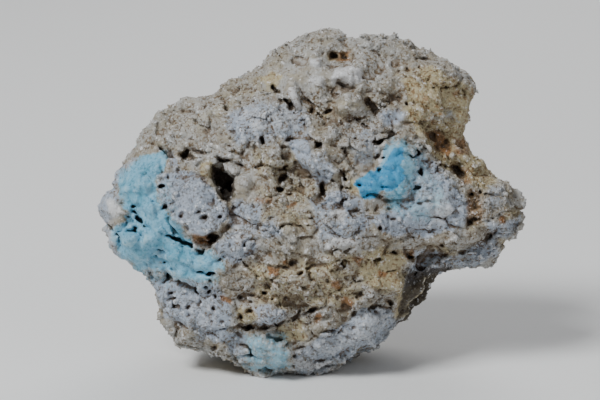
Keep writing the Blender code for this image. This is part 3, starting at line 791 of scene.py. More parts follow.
LUMPS = (
    Oval("pink bulge", 113.5, 208.0, 11.0, 10.0, 0.7),
    Oval("below pink bulge", 121.0, 218.0, 8.0, 9.0, 0.9),
    Oval("hole corner", 207.0, 168.0, 7.0, 5.0, 1.6, -40.0),
    Oval("upper left bulge 1", 143.0, 185.0, 11.0, 12.0, 1.6),
    Oval("upper left bulge 2", 153.0, 168.0, 8.0, 6.5, 1.2),
    Oval("upper left bulge 3", 128.0, 188.0, 9.0, 9.0, 1.1),
    Oval("left bulge 1", 126.0, 210.0, 7.0, 7.5, 1.1),
    Oval("left bulge 2", 152.0, 212.0, 8.0, 8.0, 1.2),
    Oval("left bulge 3", 130.0, 240.0, 9.0, 8.0, 1.3),
    Oval("left bulge 4", 149.0, 243.0, 10.0, 8.0, 1.3),
    Oval("left bulge 5", 160.0, 231.0, 7.0, 6.0, 0.9),
    Oval("strip bulge 1", 172.0, 258.0, 8.0, 6.0, 0.9),
    Oval("strip bulge 2", 187.0, 260.0, 8.0, 7.0, 1.1),
    Oval("strip bulge 3", 203.0, 264.0, 9.0, 7.0, 1.0),
    Oval("strip bulge 4", 194.0, 277.0, 9.0, 5.0, 0.8),
    Oval("white lump", 345.0, 77.0, 17.0, 8.5, 1.5, 8.0),
    Oval("whitish knob 1", 315.5, 61.5, 7.5, 4.5, 0.9),
    Oval("whitish knob 2", 317.0, 80.0, 7.0, 7.0, 1.0),
    Oval("cauliflower middle", 350.6, 104.4, 15.0, 12.0, 1.8),
    Oval("cauliflower left", 341.0, 107.5, 6.0, 6.0, 0.8),
    Oval("cauliflower top", 346.0, 98.0, 6.0, 4.5, 0.5),
    Oval("cauliflower right", 359.0, 100.0, 6.0, 6.0, 0.8),
    Oval("cauliflower foot", 354.0, 112.0, 7.0, 5.0, 0.5),
    Oval("deep upper lobe", 398.0, 149.0, 9.0, 7.0, 0.7, 10.0),
    Oval("deep shade lobe", 391.0, 166.0, 12.0, 5.5, 0.4, 10.0),
    Oval("deep lower lobe 1", 372.0, 184.0, 8.0, 10.0, 0.8, 30.0),
    Oval("deep lower lobe 2", 384.0, 179.0, 8.0, 8.0, 0.5),
    Oval("light fade", 402.0, 191.0, 12.0, 6.0, 0.5, 15.0),
    Oval("pale lobe", 231.0, 171.0, 6.0, 5.0, 1.0),
    Oval("centre knob 1", 254.0, 160.0, 8.0, 7.0, 0.5),
    Oval("centre knob 2", 271.0, 154.0, 7.0, 5.0, 0.4),
    Oval("centre knob 3", 246.0, 182.0, 8.0, 8.0, 0.5),
    Oval("centre knob 4", 262.0, 192.0, 8.0, 6.0, 0.5),
    Oval("centre knob 5", 302.0, 212.0, 9.0, 7.0, 0.6),
    Oval("centre knob 6", 272.0, 226.0, 9.0, 8.0, 0.6),
    Oval("centre knob 7", 240.0, 245.0, 12.0, 8.0, 0.6, 10.0),
    Oval("centre knob 8", 249.0, 208.0, 8.0, 7.0, 0.4),
    Oval("block 1", 334.0, 195.0, 7.0, 5.0, 0.5),
    Oval("block 2", 350.0, 203.0, 8.0, 6.0, 0.6),
    Oval("tan knob", 352.0, 183.0, 6.0, 6.0, 0.4),
    Oval("foot lobe 1", 256.0, 344.0, 9.0, 9.0, 0.5),
    Oval("foot lobe 2", 275.0, 352.0, 9.0, 11.0, 0.6),
    Oval("foot lobe 3", 259.0, 364.0, 9.0, 6.0, 0.4),
    Oval("wedge fold 1", 497.0, 191.0, 9.0, 6.0, 0.4),
    Oval("wedge fold 2", 500.0, 228.0, 12.0, 6.0, 0.5, 10.0),
    Oval("slab middle", 270.0, 313.0, 19.0, 8.0, 0.6),
)
CRACKS = (
    Crack("under the left ledge", 1.6, 0.9, ((178.0, 150.0), (196.0, 151.0), (213.0, 153.0), (229.0, 164.0))),
    Crack("above the right hole", 1.3, 0.8, ((225.0, 161.0), (237.0, 165.0), (249.0, 171.0))),
    Crack("lace crack 1", 0.9, 0.7, ((191.0, 198.0), (191.0, 204.0), (190.7, 210.0))),
    Crack("slit above", 1.6, 1.4, ((272.0, 86.0), (281.0, 93.0), (290.0, 102.0), (296.0, 110.0))),
    Crack("under white lump", 1.6, 1.2, ((331.0, 76.0), (335.0, 83.0), (343.0, 87.0), (356.0, 88.0))),
    Crack("branch 1", 1.2, 1.3, ((329.0, 156.0), (336.0, 163.0), (338.0, 172.0), (347.0, 180.0))),
    Crack("branch 2", 1.0, 1.0, ((336.0, 163.0), (343.0, 158.0), (347.0, 155.0))),
    Crack("diagonal", 1.2, 1.2, ((339.0, 183.0), (343.0, 190.0), (348.0, 196.0))),
    Crack("arched crevice", 1.4, 1.2, ((276.0, 233.0), (283.0, 226.0), (293.0, 224.0), (301.0, 227.0), (307.0, 233.0))),
    Crack("between blocks", 1.0, 0.9, ((328.0, 201.0), (334.0, 203.5), (339.0, 204.0), (345.0, 198.0))),
    Crack("green crevice", 1.1, 0.9, ((127.0, 217.0), (134.0, 222.0), (141.0, 220.0), (148.0, 228.0),
                                     (158.0, 231.0), (168.0, 236.0), (178.0, 241.0))),
    Crack("bubble chain", 1.3, 0.8, ((174.0, 236.0), (182.0, 243.0), (191.0, 246.0), (201.0, 251.0))),
    Crack("upper fold", 1.2, 0.6, ((146.0, 172.0), (141.0, 184.0), (146.0, 196.0), (156.0, 204.0))),
    Crack("left fold", 1.1, 0.6, ((118.0, 190.0), (124.0, 200.0), (130.0, 207.0), (140.0, 206.0))),
    Crack("low fold", 1.1, 0.5, ((118.0, 232.0), (130.0, 230.0), (142.0, 236.0), (152.0, 250.0))),
    Crack("strip fold", 1.1, 0.5, ((168.0, 250.0), (180.0, 262.0), (192.0, 268.0), (210.0, 272.0))),
    Crack("deep crease", 1.1, 0.25, ((380.0, 171.0), (391.0, 166.0), (400.0, 163.0), (409.0, 162.0))),
    Crack("under deep lobe", 1.0, 0.2, ((378.0, 197.0), (388.0, 198.0), (398.0, 191.0), (407.0, 184.0))),
    Crack("under light fade", 1.0, 0.2, ((393.0, 204.0), (401.0, 200.0), (410.0, 198.0))),
    Crack("wedge fold line", 1.2, 0.8, ((487.0, 222.0), (500.0, 219.0), (514.0, 223.0))),
    Crack("under slab", 1.4, 1.3, ((240.0, 327.0), (255.0, 329.0), (274.0, 326.0), (291.0, 320.0), (299.0, 309.0))),
    Crack("foot lobe arc", 0.9, 0.5, ((270.0, 335.0), (271.0, 342.0), (267.0, 348.0))),
    Crack("foot fold", 0.9, 0.5, ((256.0, 351.0), (261.0, 354.0), (266.0, 352.0))),
    Crack("above lower band", 1.2, 0.4, ((303.0, 344.0), (320.0, 334.0), (337.0, 326.0), (360.0, 309.0),
                                        (390.0, 306.0))),
    Crack("strata line 1", 1.1, 0.6, ((256.0, 262.0), (275.0, 266.0), (296.0, 266.0), (318.0, 272.0),
                                     (345.0, 268.0))),
    Crack("strata line 2", 1.1, 0.6, ((252.0, 283.0), (278.0, 284.0), (304.0, 289.0), (330.0, 289.0),
                                     (352.0, 284.0))),
    Crack("white patch crack", 0.9, 0.6, ((332.0, 252.0), (337.0, 251.0), (345.0, 253.0), (352.0, 249.0))),
    Crack("trough edge", 1.4, 0.7, ((308.0, 100.0), (316.0, 112.0), (330.0, 120.0), (348.0, 122.0),
                                   (366.0, 118.0))),
    Crack("upper ledge 1", 1.3, 0.5, ((262.0, 92.0), (270.0, 97.0), (281.0, 99.0))),
    Crack("upper ledge 2", 1.3, 0.5, ((226.0, 136.0), (240.0, 143.0), (256.0, 143.0), (270.0, 148.0),
                                     (288.0, 146.0), (300.0, 139.0))),
    Crack("centre ledge 1", 1.2, 0.5, ((243.0, 169.0), (256.0, 172.0), (268.0, 170.0), (280.0, 176.0))),
    Crack("centre ledge 2", 1.2, 0.5, ((240.0, 196.0), (254.0, 199.0), (272.0, 203.0), (288.0, 204.0))),
    Crack("centre ledge 3", 1.2, 0.5, ((305.0, 196.0), (312.0, 204.0), (326.0, 208.0), (334.0, 206.0))),
    Crack("centre ledge 4", 1.3, 0.5, ((222.0, 256.0), (240.0, 258.0), (256.0, 250.0), (266.0, 240.0))),
    Crack("right ledge 1", 1.2, 0.5, ((352.0, 214.0), (368.0, 220.0), (386.0, 219.0), (404.0, 224.0))),
    Crack("right ledge 2", 1.1, 0.5, ((416.0, 166.0), (432.0, 172.0), (446.0, 184.0), (460.0, 188.0))),
    Crack("upper right seam", 1.2, 0.5, ((404.0, 78.0), (408.0, 94.0), (418.0, 112.0), (424.0, 128.0))),
    Crack("strata line 3", 1.1, 0.7, ((262.0, 314.0), (284.0, 322.0), (306.0, 326.0), (330.0, 322.0))),
)
PLATES = (
    Patch("lace", 1.2, 0.8, (
        (166, 183), (178, 181), (197, 181), (206, 184), (216, 190), (222, 200), (228, 213), (230, 219),
        (224, 226), (213, 232), (204, 236), (195, 239), (189, 235), (187, 226), (174, 220),
    )),
    Patch("ragged plate", 0.9, 1.2, (
        (286, 141), (298, 139), (308, 142), (312, 152), (326, 154), (332, 162), (336, 172), (330, 180),
        (320, 183), (314, 174), (304, 168), (294, 158),
    )),
    Patch("slab", 1.1, 1.5, ((248, 304), (268, 302), (291, 309), (286, 320), (270, 323), (256, 323))),
    Patch("lower band", 0.5, 2.5, (
        (302, 355), (304, 344), (336, 329), (360, 312), (390, 309), (393, 320), (371, 344), (338, 355),
        (313, 360),
    )),
    Patch("blue facet", 0.4, 2.0, ((376, 113), (392, 110), (411, 114), (409, 124), (392, 127), (378, 124))),
)
RECESSES = (
    Patch("trough", 0.9, 5.0, ((304, 94), (330, 88), (352, 92), (376, 90), (394, 96), (404, 110), (394, 126),
                               (356, 128), (320, 124), (306, 112))),
    Patch("under the wedge ledge", 1.1, 1.6, (
        (404, 246), (412, 243), (424, 242), (439, 246), (458, 247), (481, 239), (500, 226), (499, 234),
        (484, 246), (462, 254), (440, 256), (424, 262), (408, 262),
    )),
    Patch("shadow facets", 1.2, 2.5, ((424, 259), (428, 268), (414, 276), (410, 292), (402, 288), (400, 272))),
    Patch("back mass", 2.2, 3.0, ((404, 276), (420, 270), (444, 272), (440, 300), (420, 330), (396, 334),
                                  (398, 312))),
    Patch("porous wedge", 0.6, 4.0, ((466, 190), (484, 188), (484, 226), (468, 228))),
    Patch("brown pocket", 0.9, 3.0, ((423, 132), (437, 130), (452, 146), (449, 159), (441, 155), (433, 146))),
)
PLATE_BY_NAME = {plate.name: plate for plate in PLATES}
TINTS: dict[Tint, tuple[Patch, ...]] = {
    Tint.LAVENDER: (
        Patch("lace", 0.8, 3.0, PLATE_BY_NAME["lace"].corners),
        Patch("lace side", 0.9, 4.0, ((154, 178), (160, 172), (200, 174), (232, 214), (212, 238), (184, 236),
                                      (166, 214), (155, 196))),
        Patch("left rim", 0.7, 5.0, ((134, 156), (138, 162), (126, 174), (118, 188), (124, 200), (110, 224),
                                     (114, 244), (134, 262), (128, 272), (96, 240), (94, 196),
                                     (114, 162))),
        Patch("upper zone", 0.75, 12.0, ((228, 104), (262, 98), (300, 104), (314, 118), (308, 140),
                                         (270, 150), (238, 146), (226, 126))),
        Patch("ragged plate", 0.8, 3.0, PLATE_BY_NAME["ragged plate"].corners),
        Patch("centre left", 0.9, 7.0, ((232, 200), (258, 200), (266, 216), (262, 234), (244, 232),
                                        (232, 222))),
        Patch("centre low left", 1.0, 7.0, ((216, 242), (232, 230), (262, 228), (262, 246), (240, 262),
                                            (218, 262))),
        Patch("centre low", 0.7, 5.0, ((263, 218), (280, 214), (283, 232), (266, 237))),
        Patch("centre right", 0.6, 8.0, ((306, 196), (326, 190), (360, 194), (372, 214), (360, 240),
                                         (322, 244), (310, 226))),
        Patch("blocks", 0.75, 4.0, ((325, 190), (345, 187), (360, 194), (358, 210), (338, 212), (326, 203))),
        Patch("low streak", 0.7, 4.0, ((328, 226), (348, 222), (351, 236), (332, 242))),
        Patch("lower band", 1.15, 5.0, PLATE_BY_NAME["lower band"].corners),
        Patch("lower band rim", 0.7, 6.0, ((292, 352), (396, 306), (398, 330), (376, 352), (330, 374),
                                           (292, 374))),
        Patch("lower left", 1.0, 9.0, ((154, 276), (214, 282), (230, 300), (232, 340), (204, 342),
                                       (166, 316))),
        Patch("foot left", 0.8, 6.0, ((226, 330), (246, 328), (248, 362), (226, 350))),
        Patch("slab", 0.8, 5.0, PLATE_BY_NAME["slab"].corners),
        Patch("left speckle", 0.6, 6.0, ((145, 252), (166, 250), (172, 270), (162, 280), (146, 276))),
        Patch("left top", 0.6, 4.0, ((165, 153), (176, 152), (177, 176), (166, 178))),
        Patch("blue facet", 0.7, 4.0, PLATE_BY_NAME["blue facet"].corners),
        Patch("right streaks", 0.4, 7.0, ((428, 106), (450, 110), (462, 126), (446, 130), (430, 120))),
        Patch("cheek", 0.5, 7.0, ((482, 184), (508, 184), (514, 202), (500, 208), (486, 202))),
        Patch("wedge folds", 0.75, 5.0, ((486, 218), (502, 222), (522, 214), (519, 234), (494, 240))),
        Patch("right middle", 1.05, 7.0, ((412, 146), (432, 166), (452, 184), (464, 204), (462, 226),
                                          (430, 236), (380, 232), (366, 212), (396, 206),
                                          (408, 178))),
        Patch("ledge underside", 0.7, 5.0, ((414, 250), (444, 252), (500, 236), (496, 262), (440, 272),
                                            (404, 290))),
        Patch("right of centre", 0.45, 10.0, ((345, 130), (372, 124), (384, 142), (372, 166), (352, 160))),
    ),
    Tint.OCHRE: (
        Patch("right top", 1.0, 8.0, ((402, 74), (424, 66), (456, 74), (478, 98), (476, 130), (486, 160),
                                      (498, 186), (484, 192), (462, 182), (440, 168), (424, 140),
                                      (408, 108))),
        Patch("cauliflower", 0.4, 3.0, ((336, 98), (350, 94), (364, 98), (364, 112), (344, 116))),
        Patch("upper ridge", 0.9, 4.0, ((260, 76), (272, 72), (284, 76), (280, 88), (264, 88))),
        Patch("left wedge", 0.7, 3.0, ((141, 156), (148, 155), (149, 170), (142, 171))),
        Patch("left pocket", 0.7, 3.0, ((158, 175), (172, 175), (172, 185), (159, 185))),
        Patch("hole rim", 0.9, 3.0, ((198, 162), (214, 160), (219, 168), (214, 178), (200, 177))),
        Patch("wedge tip", 0.7, 6.0, ((503, 205), (522, 207), (524, 220), (506, 222))),
        Patch("amber zone", 0.8, 8.0, ((362, 250), (386, 244), (406, 252), (402, 290), (372, 294),
                                        (358, 272))),
        Patch("amber fleck", 0.7, 3.0, ((318, 261), (332, 261), (332, 268), (319, 268))),
        Patch("back mass", 0.9, 8.0, ((392, 272), (430, 268), (452, 280), (430, 326), (398, 330))),
        Patch("pit cluster", 0.8, 4.0, ((236, 306), (250, 304), (256, 318), (240, 322))),
        Patch("low speckle", 0.7, 6.0, ((272, 322), (306, 318), (308, 342), (278, 346))),
        Patch("strata", 0.55, 10.0, ((250, 258), (362, 252), (362, 306), (300, 312), (250, 300))),
        Patch("centre", 0.45, 14.0, ((248, 152), (330, 150), (336, 230), (262, 236))),
        Patch("ledge strip", 0.5, 6.0, ((426, 246), (480, 244), (510, 232), (500, 262), (440, 270))),
        Patch("tan knob", 0.7, 4.0, ((345, 177), (359, 177), (358, 190), (346, 190))),
        Patch("porous wedge", 0.5, 6.0, ((464, 186), (484, 186), (486, 226), (466, 230))),
        Patch("upper left edge", 0.35, 12.0, ((160, 128), (228, 84), (280, 56), (300, 78), (238, 112),
                                              (182, 142))),
    ),
    Tint.RUST: (
        Patch("band under lace", 0.9, 3.0, ((190, 235), (208, 236), (209, 243), (192, 243))),
        Patch("strata fleck 1", 0.8, 2.5, ((281, 257), (288, 257), (288, 263), (281, 263))),
        Patch("strata fleck 2", 0.9, 3.0, ((267, 265), (280, 266), (279, 275), (268, 274))),
        Patch("strata fleck 3", 0.8, 2.5, ((353, 257), (361, 258), (361, 267), (354, 266))),
        Patch("strata fleck 4", 0.7, 3.5, ((341, 297), (355, 298), (354, 310), (342, 309))),
        Patch("strata fleck 5", 0.8, 3.5, ((329, 279), (342, 279), (342, 288), (330, 287))),
        Patch("low fleck", 0.8, 3.0, ((315, 314), (323, 315), (322, 324), (315, 323))),
        Patch("lower left fleck", 0.8, 3.0, ((221, 294), (232, 295), (231, 304), (222, 303))),
        Patch("amber streak", 0.8, 2.5, ((378, 271), (387, 272), (386, 278), (379, 278))),
        Patch("right fleck 1", 0.6, 3.0, ((419, 93), (427, 93), (427, 99), (419, 99))),
        Patch("right fleck 2", 0.6, 3.0, ((451, 92), (459, 92), (459, 98), (451, 98))),
        Patch("right fleck 3", 0.6, 3.0, ((431, 118), (439, 118), (439, 124), (431, 124))),
        Patch("amber patch", 0.6, 5.0, ((451, 136), (470, 137), (471, 155), (454, 156))),
        Patch("brown pocket", 0.8, 4.0, ((423, 132), (437, 130), (452, 146), (449, 159), (441, 155),
                                         (433, 146))),
        Patch("wedge fleck", 0.8, 2.5, ((500, 219), (507, 219), (507, 226), (500, 226))),
        Patch("top vug", 0.7, 3.0, ((337, 50), (351, 50), (351, 60), (337, 61))),
        Patch("ledge pit", 0.7, 3.0, ((403, 252), (415, 251), (415, 260), (404, 261))),
        Patch("centre streak 1", 0.6, 3.0, ((253, 198), (273, 198), (273, 206), (254, 205))),
        Patch("centre streak 2", 0.6, 2.5, ((286, 202), (297, 202), (296, 208), (286, 208))),
        Patch("porous wedge", 0.5, 4.0, ((466, 188), (484, 188), (484, 226), (468, 228))),
        Patch("right hollow", 0.5, 4.0, ((455, 165), (472, 165), (472, 185), (457, 185))),
    ),
    Tint.PALE: (
        Patch("white lump", 0.85, 3.0, ((327, 76), (334, 68), (350, 66), (362, 72), (362, 82), (346, 87),
                                       (332, 86))),
        Patch("knob 1", 0.7, 3.0, ((308, 57), (323, 57), (323, 67), (309, 66))),
        Patch("knob 2", 0.7, 3.0, ((310, 73), (324, 74), (324, 87), (311, 87))),
        Patch("pink bulge", 0.9, 5.0, ((106, 202), (114, 199), (122, 206), (120, 215), (110, 217))),
        # painted highlight: the pale upper left rim of the deep blue crust, where the light falls
        Patch("deep blue rim", 0.75, 1.8, ((380, 172), (379, 160), (382, 150), (387, 144), (398, 141),
                                           (398, 147), (390, 151), (387, 160), (384, 171))),
        Patch("deep blue tip", 0.4, 2.0, ((355, 180), (359, 175), (368, 172), (368, 176), (360, 181))),
        Patch("star", 0.8, 3.0, ((330, 212), (342, 208), (350, 214), (346, 222), (334, 221))),
        Patch("white patch", 0.8, 4.0, ((325, 241), (355, 239), (356, 249), (327, 250))),
        Patch("pale lobe", 0.3, 3.0, ((226, 166), (236, 166), (236, 176), (227, 176))),
        Patch("cauliflower", 0.2, 3.0, ((336, 98), (350, 94), (364, 98), (364, 112), (344, 116))),
        Patch("lavender zone lights", 0.45, 6.0, ((240, 108), (286, 104), (304, 114), (300, 132), (252, 134))),
        Patch("left of centre", 0.45, 8.0, ((226, 212), (252, 214), (260, 240), (232, 252))),
        Patch("right middle", 0.5, 10.0, ((416, 170), (436, 176), (416, 190), (452, 192), (462, 216), (430, 228))),
        Patch("lower left", 0.35, 10.0, ((178, 296), (216, 300), (222, 330), (190, 328))),
        Patch("upper left ledge", 0.15, 8.0, ((168, 128), (226, 96), (250, 96), (226, 128), (180, 146))),
        Patch("low rim", 0.5, 4.0, ((291, 360), (338, 358), (336, 372), (292, 374))),
        Patch("lower band", 0.4, 6.0, PLATE_BY_NAME["lower band"].corners),
        Patch("upper zone", 0.3, 10.0, ((234, 106), (300, 104), (306, 136), (240, 142))),
    ),
    Tint.BLUE: (
        Patch("left", 0.95, 4.0, LEFT_BLUE),
        Patch("centre", 1.0, 1.5, DEEP_BLUE),
        Patch("centre fade", 1.0, 7.0, ((398, 164), (414, 172), (424, 188), (412, 203), (395, 207),
                                        (386, 198), (398, 186))),
        Patch("centre halo", 0.72, 10.0, ((390, 136), (412, 140), (440, 176), (452, 206), (420, 226),
                                          (384, 214))),
        Patch("lace halo", 0.7, 6.0, ((150, 168), (172, 176), (178, 200), (186, 230), (196, 244), (226, 250),
                                      (226, 272), (200, 262), (166, 226))),
        Patch("left fade", 0.6, 7.0, ((112, 236), (166, 262), (218, 268), (222, 288), (196, 298),
                                       (150, 286), (120, 262))),
        Patch("lower band", 0.1, 5.0, PLATE_BY_NAME["lower band"].corners),
        Patch("foot", 0.55, 4.0, FOOT_BLUE),
        Patch("round foot", 0.42, 5.0, ((226, 338), (246, 328), (286, 330), (296, 345), (292, 372), (262, 377),
                                        (240, 366))),
        Patch("low left streak", 0.42, 6.0, ((190, 308), (202, 308), (200, 334), (192, 332))),
    ),
    Tint.DEEP: (
        Patch("centre", 1.0, 3.0, DEEP_BLUE),
    ),
    Tint.POROUS: (
        Patch("trough", 1.0, 6.0, ((302, 92), (330, 88), (372, 88), (398, 90), (412, 112), (400, 136),
                                   (352, 140), (318, 128), (306, 112))),
        Patch("centre", 0.55, 10.0, ((300, 128), (352, 132), (366, 170), (340, 210), (300, 200),
                                     (290, 160))),
        Patch("centre left", 0.55, 8.0, ((236, 146), (290, 150), (296, 210), (250, 214))),
        Patch("lace", 1.0, 3.0, PLATE_BY_NAME["lace"].corners),
        Patch("strata", 0.9, 8.0, ((238, 262), (362, 256), (392, 296), (340, 326), (240, 322))),
        Patch("lower left", 0.3, 8.0, ((160, 284), (224, 286), (232, 330), (212, 350), (176, 318))),
        Patch("upper left", 0.6, 8.0, ((150, 128), (232, 80), (276, 54), (284, 66), (240, 98),
                                       (170, 146))),
        Patch("right top", 0.5, 8.0, ((404, 62), (440, 70), (468, 100), (450, 112), (414, 88))),
        Patch("brown pocket", 1.0, 3.0, ((421, 130), (438, 128), (454, 146), (450, 161), (438, 158))),
        Patch("porous wedge", 1.0, 4.0, ((464, 188), (486, 188), (486, 228), (466, 230))),
        Patch("middle right", 0.6, 8.0, ((352, 206), (420, 214), (460, 232), (400, 246), (350, 238))),
        Patch("ledge strip", 0.8, 4.0, ((404, 246), (440, 250), (500, 238), (494, 262), (420, 272))),
        Patch("upper zone", 0.45, 8.0, ((228, 104), (262, 98), (300, 104), (314, 118), (308, 140), (270, 150),
                                        (238, 146), (226, 126))),
        Patch("speckle", 0.6, 4.0, ((144, 252), (168, 250), (172, 272), (146, 276))),
    ),
    Tint.SMOOTH: (
        Patch("white lump", 1.0, 3.0, ((326, 70), (362, 68), (362, 86), (330, 87))),
        Patch("cauliflower", 0.8, 3.0, ((336, 98), (350, 93), (365, 98), (366, 112), (344, 117), (335, 110))),
        Patch("right top", 0.45, 8.0, ((410, 84), (440, 84), (470, 100), (472, 130), (458, 128),
                                       (424, 106))),
        Patch("amber zone", 0.35, 6.0, ((362, 250), (386, 244), (406, 252), (402, 290), (372, 294),
                                       (358, 272))),
        Patch("upper pale", 0.8, 8.0, ((262, 74), (300, 52), (330, 60), (328, 88), (290, 92),
                                       (268, 92))),
        Patch("left blue", 0.75, 4.0, LEFT_BLUE),
        Patch("deep blue", 1.0, 2.0, DEEP_BLUE),
        Patch("foot blue", 1.0, 4.0, FOOT_BLUE),
        Patch("lower left", 0.3, 8.0, ((160, 284), (224, 286), (232, 330), (212, 350), (176, 318))),
        Patch("right middle", 0.45, 8.0, ((406, 160), (440, 176), (464, 206), (460, 230), (390, 230),
                                         (380, 206))),
        Patch("round deep blue", 0.8, 5.0, ((376, 140), (412, 138), (420, 170), (412, 206), (356, 206),
                                            (350, 176))),
        Patch("pink bulge", 1.0, 4.0, ((98, 200), (112, 197), (126, 206), (124, 218), (106, 222))),
        Patch("lace", 0.8, 3.0, PLATE_BY_NAME["lace"].corners),
        Patch("ragged plate", 0.6, 3.0, PLATE_BY_NAME["ragged plate"].corners),
        Patch("lower band", 0.5, 4.0, PLATE_BY_NAME["lower band"].corners),
        Patch("upper zone", 0.2, 8.0, ((228, 104), (262, 98), (300, 104), (308, 136), (240, 142))),
        Patch("hole rim", 0.8, 4.0, ((232, 168), (256, 172), (252, 196), (236, 200))),
        Patch("blue facet", 0.6, 4.0, PLATE_BY_NAME["blue facet"].corners),
    ),
    # painted shade: the deep hole, the pocket under the left ledge, the trough round the cauliflower lump, the lace's
    # pores, the strip under the wedge ledge and the shadowed back mass
    Tint.DARK: (
        Patch("big hole", 1.0, 2.0, ((213, 164), (222, 172), (234, 181), (235, 191), (230, 203), (225, 203),
                                     (222, 192), (217, 180))),
        Patch("lace", 0.38, 2.0, PLATE_BY_NAME["lace"].corners),
        Patch("trough left", 0.24, 5.0, ((304, 94), (334, 88), (336, 100), (332, 116), (318, 122), (306, 112))),
        Patch("trough right", 0.26, 5.0, ((368, 92), (388, 94), (400, 108), (390, 124), (352, 126),
                                          (350, 120), (368, 114))),
        Patch("under left ledge", 0.6, 3.0, ((178, 150), (193, 149), (194, 160), (180, 161))),
        Patch("shadow facets", 0.5, 3.0, ((424, 259), (430, 270), (414, 276), (410, 292), (400, 290),
                                          (400, 272))),
        # painted shadow: the back mass, set back in the overhang's shadow
        Patch("back mass", 0.86, 3.0, ((404, 276), (420, 268), (452, 266), (450, 300), (424, 334),
                                      (394, 338), (398, 312))),
        Patch("under the wedge ledge", 0.24, 2.0, ((404, 246), (424, 242), (439, 246), (458, 247),
                                                  (481, 239), (500, 226), (496, 238), (462, 255),
                                                  (424, 262), (406, 262))),
    ),
}


KNOBS = (
    (Oval("low left corner of the hole", 209.5, 192.0, 2.3, 2.3, 1.9), (202.0, 196.0)),
    (Oval("right corner of the hole", 233.0, 163.0, 2.2, 2.2, 1.8), (242.0, 166.0)),
    (Oval("top left corner of the hole", 206.0, 164.0, 1.6, 1.6, 1.3), (200.0, 166.0)),
)
CARVED_WAVES = ((11.0, 1.6), (4.5, 1.7), (2.4, 0.7))
RIMS = {Tint.OCHRE: 0.55, Tint.RUST: 0.4}
WILD_SHARE = {
    Tint.BLUE: 0.0, Tint.DEEP: 0.0, Tint.LAVENDER: 0.8, Tint.OCHRE: 0.85, Tint.RUST: 0.45,
    Tint.PALE: 0.35, Tint.DARK: 0.0, Tint.POROUS: 0.9, Tint.SMOOTH: 0.7,
}


